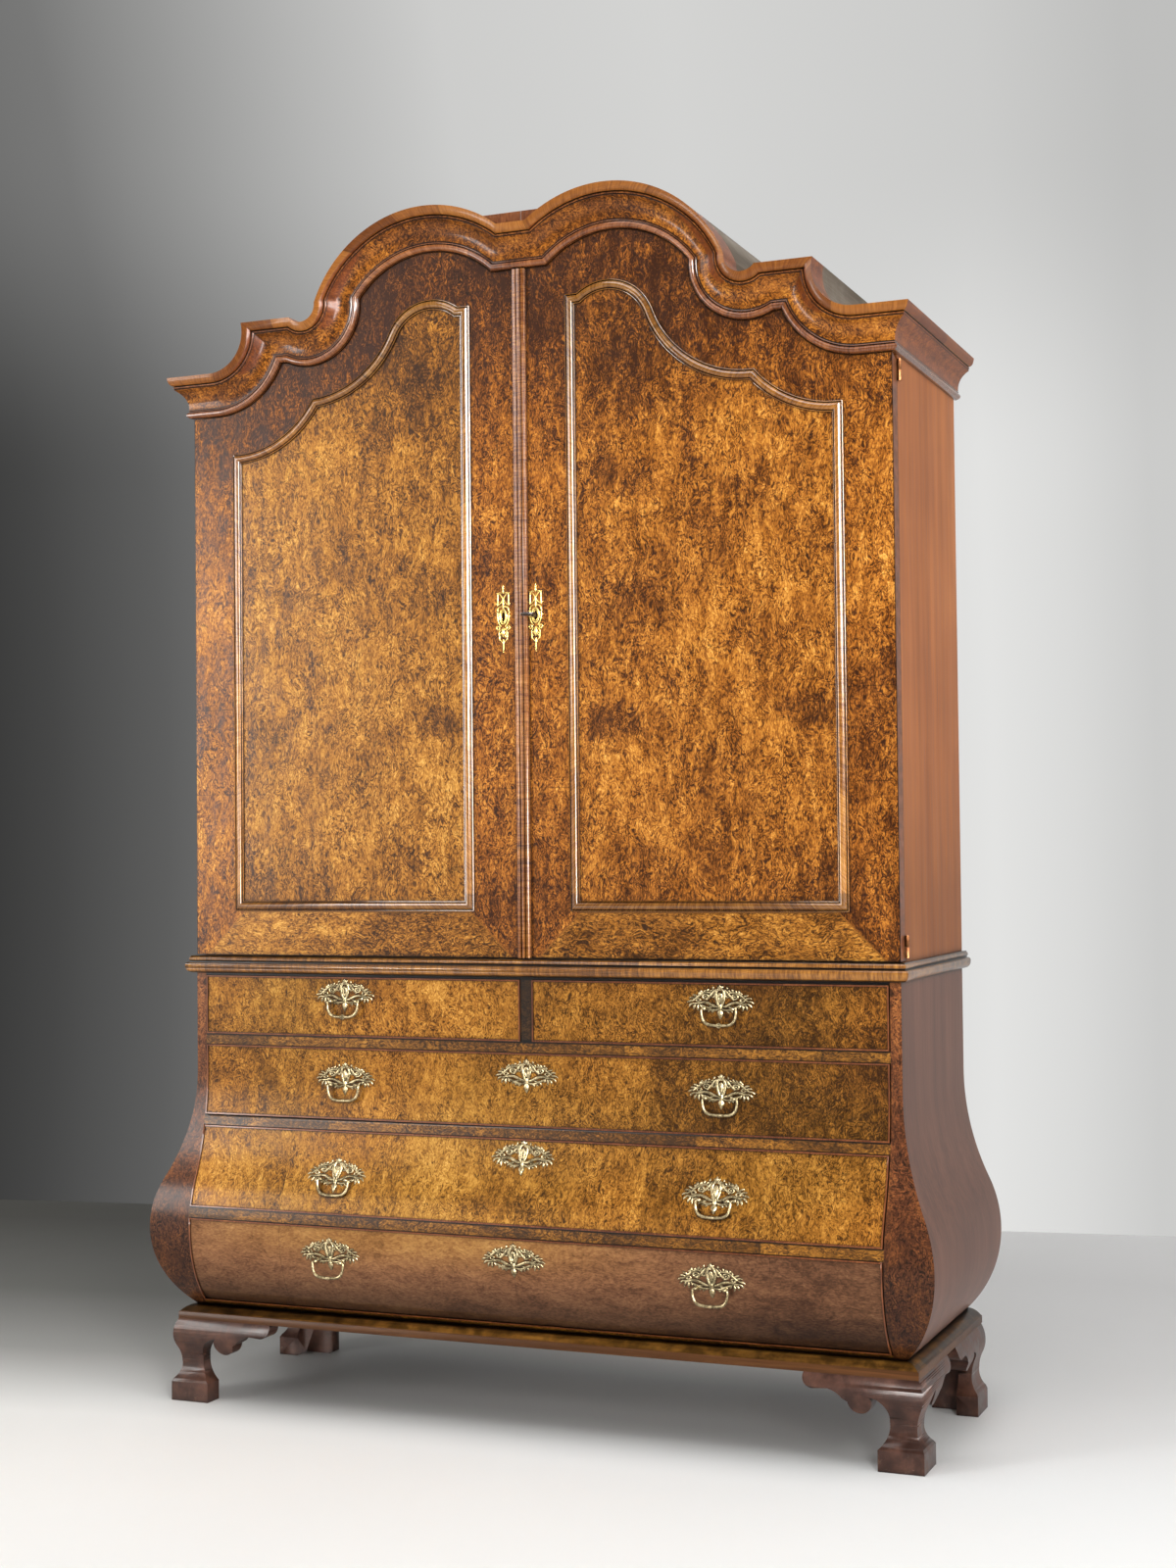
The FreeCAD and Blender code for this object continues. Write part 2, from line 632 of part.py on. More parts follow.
def skyline(level, reach, depth):
    """The outline over the doors, at a level above the underside of the cornice bead."""
    part, stretch, end = level / size.cornice_height, pattern_stretch(), size.end_height

    def grown(low, high):
        return low + part * (high - low)

    arch = (stretch * grown(size.arch_x, size.arch_x_top),
            end + stretch * grown(size.arch_rise, size.arch_rise_top),
            grown(stretch * size.arch_radius, arch_radius_top()))
    hollow = (stretch * size.hollow_x, end + stretch * size.hollow_rise,
              stretch * size.hollow_radius - level)
    step = (stretch * size.step_x, end + stretch * size.step_radius,
            stretch * size.step_radius - level)
    dip, ledge = dip_height() + level, end + stretch * size.ledge_rise + level
    rise, head = beside(arch, dip, -1), beside(step, ledge, -1)
    step_via = (head + step[0]) / 2
    right = [
        ((arch[0], arch[1] + arch[2]), upper_meet(arch, hollow)),
        ((hollow[0], hollow[1] - hollow[2]), (beside(hollow, ledge, 1), ledge)),
        (head, ledge),
        ((step_via, below(step, step_via)), (step[0], end + level)),
        (reach, end + level),
    ]

    def place(x, z):
        return FreeCAD.Vector(x, front + depth, z)

    half = outline(place, (rise, dip), *right)
    middle = Part.LineSegment(place(-rise, dip), place(rise, dip)).toShape()
    return [mirrored(edge) for edge in reversed(half)] + [middle] + half


def skyline_wire(level, reach, depth):
    return Part.Wire(skyline(level, reach, depth))


def under_skyline(level, reach, low, y0, y1):
    """Everything below the skyline and above a height, between two depths."""
    edges = skyline(level, reach, y0)
    edges += outline(lambda x, z: FreeCAD.Vector(x, front + y0, z), (reach, size.end_height + level),
                     (reach, low), (-reach, low), (-reach, size.end_height + level))
    return face_of(edges).extrude(FreeCAD.Vector(0, y1 - y0, 0))


# ---------------------------------------------------------------- cornice and roof

def cornice_run(profile):
    """A moulding of (level, proud) points swept along the skyline, square-ended behind the doors."""
    behind = size.door_thick + size.door_front_gap
    low, high = profile[0][0], profile[-1][0]
    loop = profile + [(high, 0), (high, -behind), (low, -behind), (low, 0)]
    if profile[0][1] == 0:
        loop.pop()
    wires = [skyline_wire(level, size.half_width + max(proud, 0), -proud)
             for level, proud in loop]
    faces = []
    for first, second in zip(wires, wires[1:] + wires[:1]):
        for left, right in zip(first.Edges, second.Edges):
            faces.append(Part.makeRuledSurface(left, right))

    def corner(level, proud):
        return FreeCAD.Vector(size.half_width + max(proud, 0), front - proud,
                              size.end_height + level)

    front_loop = profile + [(high, 0), (low, 0)]
    rear_loop = [(low, 0), (high, 0), (high, -behind), (low, -behind)]
    for points in (front_loop, rear_loop):
        cap = Part.Face(Part.makePolygon([corner(*p) for p in points + points[:1]]))
        faces += [cap, mirrored(cap)]
    return solid_of(faces)


def cornice_return(profile):
    """The same moulding along the right side, mitred at the front and square at the back."""
    low, high = profile[0][0], profile[-1][0]
    points = profile + [(high, 0), (low, 0)]
    section = [FreeCAD.Vector(size.half_width + proud, front - proud, size.end_height + level)
               for level, proud in points + points[:1]]
    run = Part.Face(Part.makePolygon(section)).extrude(FreeCAD.Vector(0, FAR, 0))
    end = size.case_depth + size.cornice_back
    return run.common(block(0, FAR, -FAR, end, 0, FAR))


def build_cornice():
    """A bead, a deep cove and a rounded top edge, all following the arched skyline."""
    bead, top, reach = size.bead_height, size.cornice_height, size.cornice_reach
    bead_profile = [(0, 3), (6, 13), (bead - 2, 8), (bead, 8)]
    cove = [(bead, 8), (bead + 20, 10.3), (bead + 36, 18), (bead + 48, 30),
            (top - 17, reach - 11), (top - 8, reach - 2), (top, reach)]
    right_bead = cornice_return(bead_profile)
    node("cornice_bead", shaped("bead_front", cornice_run(bead_profile)),
         shaped("bead_right", right_bead), shaped("bead_left", mirrored(right_bead)))
    node("cornice_front", shaped("cornice_front", cornice_run(cove)))
    right = cornice_return(cove)
    node("cornice_returns", shaped("cornice_right", right),
         shaped("cornice_left", mirrored(right)))


def build_roof():
    """Bent boards over the top, cut where the skyline turns, and a stand in the middle dip."""
    high, behind = size.cornice_height, size.door_thick + size.door_front_gap
    low, end = high - size.roof_thick, size.case_depth + size.cornice_back
    reach = size.half_width
    shell = under_skyline(high, reach, size.end_height, behind, end)
    shell = shell.cut(under_skyline(low, reach + 1, size.end_height - 1, behind - 1, end + 1))
    stretch, line = pattern_stretch(), skyline(high, reach, 0)
    dip_half = line[len(line) // 2].Vertexes[-1].X
    turns = [reach, stretch * (size.step_x - size.step_radius) + high + size.roof_thick / 2,
             stretch * (size.hollow_x - size.hollow_radius) + high - size.roof_thick / 2, dip_half]
    cuts = sorted([-turn for turn in turns] + turns)
    pieces = []
    for i, (x0, x1) in enumerate(zip(cuts, cuts[1:])):
        piece = shell.common(block(x0, x1, -FAR, FAR, 0, FAR))
        pieces.append(shaped(f"roof_board_{i}", piece))
    node("roof_boards", *pieces)
    stand_low = dip_height() + size.platform_rise
    stand = block(-size.platform_half, size.platform_half, size.platform_front,
                  size.platform_front + size.platform_depth, stand_low,
                  stand_low + size.platform_thick)
    stand = stand.cut(under_skyline(high, reach, size.end_height, 0, size.case_depth))
    node("vase_platform", shaped("vase_platform", stand))


# ---------------------------------------------------------------- the upper case

def hinge_heights():
    return size.waist_top + size.hinge_rise, size.end_height - size.hinge_drop


def leaf_pocket(x0, x1, y0, z):
    """The recess, or the leaf, of one hinge half, on the right-hand side."""
    tall = size.knuckle_height
    return block(x0, x1, y0, y0 + size.leaf_thick, z - tall, z + tall)


def build_upper_case():
    """Sides, back, header and shelves; the sides carry the hinges."""
    seam = size.door_thick + size.door_front_gap
    roof = size.cornice_height - size.roof_thick
    inner, rear = size.half_width - size.side_wall, size.case_depth - size.back_wall
    side = block(inner, size.half_width, seam, size.case_depth, size.waist_top,
                 size.end_height + roof)
    for z in hinge_heights():
        side = side.cut(leaf_pocket(inner, size.half_width, seam, z))
    node("upper_right_side", shaped("upper_right_side", side))
    node("upper_left_side", shaped("upper_left_side", mirrored(side)))

    header_low = size.end_height - size.header_drop
    header = under_skyline(roof, size.half_width, header_low, seam, seam + size.header_thick)
    header = header.common(block(-inner, inner, 0, size.case_depth, 0, FAR))
    node("door_header", shaped("door_header", header))

    closing = under_skyline(roof, size.half_width, size.waist_top, rear, size.case_depth)
    count = int(size.back_boards)
    width = 2 * inner / count
    boards = []
    for i in range(count):
        x0 = i * width - inner
        plank = closing.common(block(x0, x0 + width, 0, FAR, 0, FAR))
        boards.append(shaped(f"back_board_{i}", plank))
    node("upper_back", *boards)

    wall, deep_end = "half_width - side_wall", "case_depth - back_wall"
    across = (f"-({wall})", wall)
    floor = board("upper_floor", across, ("door_thick + door_front_gap", deep_end),
                  ("waist_top", "waist_top + board"))
    shelves = []
    for i in range(1, int(size.shelves) + 1):
        low = f"waist_top + {i} * (end_height - shelf_drop - waist_top) / shelves"
        shelves.append(board(f"shelf_{i}", across, ("shelf_setback", deep_end),
                             (low, f"{low} + board")))
    node("shelves", floor, *shelves)


def hinge_half(z, fixed):
    """One half of a hinge on the right: the fixed half is above and carries the pin."""
    axis_x = size.half_width + size.hinge_out
    seam = size.door_thick + size.door_front_gap
    tall, play = size.knuckle_height, size.slide_play
    low, high = (z + play, z + tall) if fixed else (z - tall, z - play)
    x0 = size.half_width - size.side_wall if fixed else size.half_width - size.leaf_width
    y0 = seam if fixed else size.door_thick - size.leaf_thick
    leaf = leaf_pocket(x0, size.half_width, y0, z)
    tab = block(size.half_width, axis_x, y0, y0 + size.leaf_thick, low, high)
    knuckle = rod(size.knuckle_radius, FreeCAD.Vector(axis_x, front + seam, low),
                  FreeCAD.Vector(axis_x, front + seam, high))
    half = leaf.fuse([tab, knuckle])
    pin_low, pin_high = z - tall - 1, z + tall
    ends = [FreeCAD.Vector(axis_x, front + seam, level) for level in (pin_low, pin_high)]
    if fixed:
        return half.fuse(rod(size.pin_radius, *ends))
    return half.cut(rod(size.pin_radius + size.pin_play, *ends))


def build_case_hinges():
    halves = [hinge_half(z, True) for z in hinge_heights()]
    halves += [mirrored(half) for half in halves]
    node("case_hinges", *[shaped(f"case_hinge_{i}", half) for i, half in enumerate(halves)])


# ---------------------------------------------------------------- doors

def panel_outline(meet_x, inset, proud):
    """The arched outline of a door's moulding, drawn for the right door, set in by inset."""
    stretch, top = pattern_stretch(), size.end_height
    side, low = size.half_width - size.stile_width - inset, size.panel_bottom + inset
    meet, corner = meet_x + inset, top + stretch * size.panel_rise - inset
    arch = (meet_x + stretch * size.panel_arch_inset, top + stretch * size.panel_arch_rise,
            stretch * size.panel_arch_radius - inset)
    reach = stretch * (size.panel_arch_radius + size.panel_hollow_radius)
    hollow_x = stretch * size.panel_hollow_x
    hollow_z = arch[1] + math.sqrt(reach ** 2 - (hollow_x - arch[0]) ** 2)
    hollow = (hollow_x, hollow_z, stretch * size.panel_hollow_radius + inset)
    end = (stretch * size.panel_end_x, top + stretch * size.panel_end_rise,
           stretch * size.panel_end_radius + inset)
    share = arch[2] / reach
    touch = (arch[0] + share * (hollow_x - arch[0]), arch[1] + share * (hollow_z - arch[1]))
    upper = upper_meet(hollow, end)
    apart = math.hypot(end[0] - hollow[0], end[1] - hollow[1])
    across = ((end[0] - hollow[0]) / apart, (end[1] - hollow[1]) / apart)
    shift = (upper[0] - hollow[0]) * across[0] + (upper[1] - hollow[1]) * across[1]
    base = (hollow[0] + shift * across[0], hollow[1] + shift * across[1])
    cusp = (2 * base[0] - upper[0], 2 * base[1] - upper[1])
    via_1, via_2 = (touch[0] + cusp[0]) / 2, (cusp[0] + side) / 2

    def place(x, z):
        return FreeCAD.Vector(x, front - proud, z)

    return outline(
        place, (meet, low), (meet, corner), (beside(arch, corner, -1), corner),
        ((arch[0], arch[1] + arch[2]), touch), ((via_1, below(hollow, via_1)), cusp),
        ((via_2, below(end, via_2)), (side, below(end, side))), (side, low), (meet, low))


def door_moulding(meet_x):
    """The cross-banded moulding round a panel: wires at each step of its section, skinned."""
    wide, high = size.moulding_width, size.moulding_high
    section = [(0, 0), (0, 3), (2, 4.5), (4, 4.5), (5, 5.5), (wide - 8, high - 1),
               (wide - 6, high), (wide - 3, high), (wide - 1, high - 4), (wide, 0)]
    loops = [panel_outline(meet_x, inset, proud) for inset, proud in section]
    faces = []
    for first, second in zip(loops, loops[1:] + loops[:1]):
        for one, other in zip(first, second):
            faces.append(Part.makeRuledSurface(one, other))
    return solid_of(faces)


def door_slab(x0, x1):
    """A door's board: its top follows the skyline and is bevelled so that it swings clear."""
    gap, deep = size.door_top_gap, size.door_thick
    reach = size.half_width
    wires = []
    for depth, level in ((0, -gap), (deep, -gap - size.door_bevel)):
        edges = skyline(level, reach, depth)
        end = size.end_height + level
        edges += outline(lambda x, z, y=depth: FreeCAD.Vector(x, front + y, z), (reach, end),
                         (reach, size.door_low), (-reach, size.door_low), (-reach, end))
        wires.append(edges)
    faces = [face_of(edges) for edges in wires]
    faces += [Part.makeRuledSurface(one, other) for one, other in zip(*wires)]
    return solid_of(faces).common(block(x0, x1, -FAR, FAR, 0, FAR))


def door(hand, x0, x1, meet_x, flip):
    """A framed door: the frame round its opening, the field in it, and the moulding over both."""
    slab = door_slab(x0, x1)
    edge = panel_outline(meet_x, size.moulding_width / 2, 0)
    opening = face_of(edge).extrude(FreeCAD.Vector(0, size.door_thick, 0))
    field = face_of(edge).extrude(FreeCAD.Vector(0, size.field_thick, 0))
    opening, field = flip(opening), flip(field)
    for z in hinge_heights():
        slab = slab.cut(flip(leaf_pocket(size.half_width - size.leaf_width, size.half_width,
                                         size.door_thick - size.leaf_thick, z)))
    frame = slab.cut(opening)
    if hand == "right":
        frame = frame.cut(rod(size.keyhole_radius,
                              FreeCAD.Vector(size.lock_x, front - 1, size.lock_z),
                              FreeCAD.Vector(size.lock_x, front + FAR, size.lock_z)))
    node(f"{hand}_door_panel", shaped(f"{hand}_door_frame", frame), shaped(f"{hand}_door_field", field))
    moulding = flip(door_moulding(meet_x))
    node(f"{hand}_door_moulding", shaped(f"{hand}_door_moulding", moulding))


def door_escutcheon(x):
    """A tall pierced plate: a finial, a framed keyhole, and a drop."""
    wide, up, down = size.escutcheon_half, size.escutcheon_up, size.escutcheon_down
    half = [(0, up), (0.26 * wide, 0.86 * up), (0.56 * wide, 0.78 * up), (0.92 * wide, 0.62 * up),
            (0.80 * wide, 0.34 * up), (wide, 0.10 * up), (0.84 * wide, -0.16 * down),
            (wide, -0.34 * down), (0.66 * wide, -0.50 * down), (0.70 * wide, -0.66 * down),
            (0.24 * wide, -0.76 * down), (0.20 * wide, -0.92 * down), (0, -down)]
    piercings = [(0.42 * wide, 0.50 * up, 3, 8), (0.62 * wide, -0.34 * down, 2.4, 3)]
    plate = cut_plate(half, x, size.lock_z, piercings)
    plate = plate.cut(rod(size.keyhole_radius + 1, FreeCAD.Vector(x, front - FAR, size.lock_z),
                          FreeCAD.Vector(x, front + FAR, size.lock_z)))
    return plate.common(block(x - FAR, x + FAR, -size.plate_thick, 0, 0, FAR))


def build_doors():
    """The strip that covers the joint belongs to the right door; the doors meet at its left edge."""
    seam = -size.strip_half
    door("right", seam, size.half_width, size.panel_meet_right, lambda shape: shape)
    door("left", -size.half_width, seam - size.meeting_gap, size.panel_meet_left, mirrored)
    right_hinges = [hinge_half(z, False) for z in hinge_heights()]
    right = [door_escutcheon(size.lock_x)] + right_hinges
    node("right_door_brasses",
         *[shaped(f"right_brass_{i}", piece) for i, piece in enumerate(right)])
    left = [door_escutcheon(-size.escutcheon_left_x), lock_keeper()]
    left += [mirrored(hinge) for hinge in right_hinges]
    node("left_door_brasses",
         *[shaped(f"left_brass_{i}", piece) for i, piece in enumerate(left)])


def build_strip():
    """A strip of three reeds that covers the joint between the doors."""
    half, proud, foot_high = size.strip_half, size.strip_proud, size.strip_foot
    top = dip_height() - size.door_top_gap

    def plan(x, reach):
        return FreeCAD.Vector(x, front - reach, size.door_low)

    reed = 2 * half / 3
    steps = [(-half, foot_high)]
    for i in range(3):
        x0 = i * reed - half
        steps.append(((x0 + reed / 2, proud), (x0 + reed, foot_high)))
    steps += [(half, 0), (-half, 0)]
    strip = face_of(outline(plan, (-half, 0), *steps))
    strip = strip.extrude(FreeCAD.Vector(0, 0, top - size.door_low))
    node("astragal", shaped("astragal", strip))


# ---------------------------------------------------------------- lock and key

def build_lock():
    """A rim lock on the inside of the right door, its bolt and its key."""
    rear = size.door_thick
    case = block(size.lock_left, size.lock_right, rear, rear + size.lock_deep,
                 size.lock_z - size.lock_half, size.lock_z + size.lock_half)
    y0, y1 = rear + size.lock_wall, rear + size.lock_deep - size.lock_wall

    def on_axis(depth):
        return FreeCAD.Vector(size.lock_x, front + depth, size.lock_z)

    play = size.bolt_play
    bolt_low = size.lock_z + size.bolt_rise
    bolt_high = bolt_low + size.bolt_tall
    case = case.cut([rod(size.ward_radius, on_axis(y0), on_axis(y1)),
                     rod(size.shank_radius + size.shank_play, on_axis(rear - 1), on_axis(FAR)),
                     block(0, size.lock_left + size.bolt_length + play, y0 - play, y1 + play,
                           bolt_low - play, bolt_high + play)])
    node("door_lock", shaped("door_lock", case))
    bolt = block(size.lock_left, size.lock_left + size.bolt_length, y0, y1,
                 bolt_low, bolt_high)
    node("lock_bolt", shaped("lock_bolt", bolt))

    shank = rod(size.shank_radius, on_axis(-size.key_reach), on_axis(rear + size.lock_deep))
    bow_low = on_axis(-size.key_reach - size.bow_half + size.bow_wire)
    bow_low.z -= size.bow_wire
    bow_high = bow_low + FreeCAD.Vector(0, 0, 2 * size.bow_wire)
    bow = rod(size.bow_half, bow_low, bow_high)
    bow = bow.cut(rod(size.bow_half - 2 * size.bow_wire, bow_low, bow_high))
    middle = (y0 + y1) / 2
    bit = block(size.lock_x - size.bit_thick / 2, size.lock_x + size.bit_thick / 2,
                middle - size.bit_wide / 2, middle + size.bit_wide / 2,
                size.lock_z - size.bit_length, size.lock_z)
    node("door_key", shaped("door_key", shank.fuse([bow, bit])))


def lock_keeper():
    """The staple behind the left door that takes the bolt."""
    rear, wall, play = size.door_thick, size.keeper_wall, size.bolt_play
    bolt_low = size.lock_z + size.bolt_rise
    bolt_high = bolt_low + size.bolt_tall
    staple = block(-size.keeper_left, -size.keeper_right, rear, rear + size.lock_deep,
                   bolt_low - wall, bolt_high + wall)
    return staple.cut(block(-FAR, 0, rear + size.lock_wall - play,
                            rear + size.lock_deep - size.lock_wall + play,
                            bolt_low - play, bolt_high + play))


# ---------------------------------------------------------------- build and write

def check(document):
    """Stop if any object failed or any sub-part has no sound solid."""
    for thing in document.Objects:
        if {"Invalid", "Error"} & set(thing.State):
            raise RuntimeError(f"{thing.Label} failed: {thing.State}")
    for label, part in NODES.items():
        shape = part.Shape
        if shape.isNull() or not shape.isValid() or not shape.Solids:
            raise RuntimeError(f"{label} has no valid solid")
        if any(solid.Volume <= 0 for solid in shape.Solids):
            raise RuntimeError(f"{label} holds an inside-out solid")


def main():
    build_feet()
    build_plinth()
    build_lower_sides()
    build_drawer_case()
    build_waist()
    build_drawers()
    build_upper_case()
    build_case_hinges()
    build_cornice()
    build_roof()
    build_doors()
    build_strip()
    build_lock()
    DOC.recompute()
    check(DOC)
    os.makedirs("parts", exist_ok=True)
    for label, part in NODES.items():
        part.Shape.exportStep(f"parts/{label}.step")
        print(label, len(part.Shape.Solids))


main()
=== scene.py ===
"""The dressed kas cupboard: finishes, brasses, floor, light and camera round the solids."""
import json
import math

import bmesh
import bpy
from mathutils import Matrix, Vector


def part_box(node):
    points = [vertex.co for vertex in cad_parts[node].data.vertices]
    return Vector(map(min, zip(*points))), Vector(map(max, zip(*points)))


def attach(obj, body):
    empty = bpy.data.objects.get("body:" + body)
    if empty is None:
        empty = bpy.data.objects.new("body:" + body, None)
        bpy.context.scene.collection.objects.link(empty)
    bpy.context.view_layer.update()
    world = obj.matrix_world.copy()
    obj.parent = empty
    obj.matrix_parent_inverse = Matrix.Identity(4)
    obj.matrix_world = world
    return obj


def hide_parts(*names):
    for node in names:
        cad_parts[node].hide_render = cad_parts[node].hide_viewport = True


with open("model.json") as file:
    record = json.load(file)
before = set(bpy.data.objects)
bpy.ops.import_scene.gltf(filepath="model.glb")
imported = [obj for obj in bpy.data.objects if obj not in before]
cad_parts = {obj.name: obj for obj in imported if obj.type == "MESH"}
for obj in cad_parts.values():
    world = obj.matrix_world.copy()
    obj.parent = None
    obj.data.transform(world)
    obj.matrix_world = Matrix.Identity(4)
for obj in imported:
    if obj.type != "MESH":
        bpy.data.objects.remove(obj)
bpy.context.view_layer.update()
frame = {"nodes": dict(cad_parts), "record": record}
nodes = frame["nodes"]
scene = bpy.context.scene

# ------------------------------------------------------------------ sizes, in metres
FRONT = -0.211            # plane of the doors and of the straight part of the drawers
CASE_HALF = 0.8           # half the width of the doors
LEAF_CENTRE = 0.401       # where each door's veneer is folded open like a book
ROW_EDGES = (0.416, 0.616, 0.793)   # heights between the drawers' rows
DRAWER_LEAF = 0.275       # width of a leaf of veneer on the drawers
ROOM_LIGHT = 0.36         # strength of the soft light from all round
WINDOW_LIGHT = 60.0       # how bright the windows at both sides are
DARK_FRONT = 0.12         # how bright the room in front of the cupboard is in its varnish
LEFT_PANEL, RIGHT_PANEL = 0.116, 0.104   # from the middle to each panel's inner edge
LOCK_Z, KEY_X = 1.690, 0.031   # the keyhole of the right door
STILE = 0.101             # from a panel's outer edge to the door's
PANEL_FOOT = 1.073        # height of the panels' lower edge
BEHIND_DOORS = 0.036      # from the doors' front to the case behind them
CASE_BACK = 0.321         # plane of the back
SIDE_THICKNESS = 0.023    # of the drawer case's sides
MM = 0.001


# ------------------------------------------------------------------ a finish and its shorthand
class Wiring:
    """Shorthand for the nodes of one tree; what it is given are sockets or plain values."""

    def __init__(self, tree):
        self.tree = tree

    def node(self, kind, **settings):
        made = self.tree.nodes.new(kind)
        for name, value in settings.items():
            setattr(made, name, value)
        return made

    def feed(self, socket, value):
        if isinstance(value, bpy.types.NodeSocket):
            self.tree.links.new(value, socket)
        else:
            socket.default_value = value

    def made(self, kind, values, **settings):
        """A node with its inputs fed in turn; gives its first output."""
        node = self.node(kind, **settings)
        for socket, value in zip(node.inputs, values):
            self.feed(socket, value)
        return node.outputs[0]

    def sum(self, operation, *values):
        return self.made("ShaderNodeMath", values, operation=operation)

    def plus(self, a, b):
        return self.sum("ADD", a, b)

    def less(self, a, b):
        return self.sum("SUBTRACT", a, b)

    def times(self, a, b):
        return self.sum("MULTIPLY", a, b)

    def fused(self, a, b, c):
        """a times b, plus c."""
        return self.sum("MULTIPLY_ADD", a, b, c)

    def most(self, a, b):
        return self.sum("MAXIMUM", a, b)

    def unsigned(self, a):
        return self.sum("ABSOLUTE", a)

    def rest(self, a):
        """What is left of 1."""
        return self.less(1.0, a)

    def added(self, tone, *parts):
        """The tone moved by each (part, weight), where a part of 0.5 leaves it."""
        for part, weight in parts:
            tone = self.fused(self.less(part, 0.5), weight, tone)
        return tone

    def vector(self, operation, *values):
        return self.made("ShaderNodeVectorMath", values, operation=operation)

    def stretched(self, at, sizes):
        return self.vector("MULTIPLY", at, sizes)

    def split(self, vector):
        made = self.node("ShaderNodeSeparateXYZ")
        self.feed(made.inputs[0], vector)
        return made.outputs

    def join(self, x, y, z):
        return self.made("ShaderNodeCombineXYZ", (x, y, z))

    def span(self, value, low, high, to_low=0.0, to_high=1.0, smooth=True):
        """Eases from to_low to to_high while the value goes from low to high."""
        made = self.node("ShaderNodeMapRange")
        made.interpolation_type = "SMOOTHSTEP" if smooth else "LINEAR"
        for name, number in (("Value", value), ("From Min", low), ("From Max", high),
                             ("To Min", to_low), ("To Max", to_high)):
            self.feed(made.inputs[name], number)
        return made.outputs[0]

    def fade(self, value, low, high):
        """1 up to low, easing to 0 at high."""
        return self.span(value, low, high, 1.0, 0.0)

    def ramp(self, value, stops):
        made = self.node("ShaderNodeValToRGB")
        band = made.color_ramp
        while len(band.elements) < len(stops):
            band.elements.new(0.5)
        for element, (position, colour) in zip(band.elements, stops):
            element.position = position
            element.color = (*colour, 1)
        self.feed(made.inputs[0], value)
        return made.outputs[0]

    def mix(self, factor, a, b, how="MIX"):
        made = self.node("ShaderNodeMix", data_type="RGBA", blend_type=how)
        self.feed(made.inputs[0], factor)
        for socket, value in ((made.inputs[6], a), (made.inputs[7], b)):
            if isinstance(value, tuple) and len(value) == 3:
                value = (*value, 1)
            self.feed(socket, value)
        return made.outputs[2]


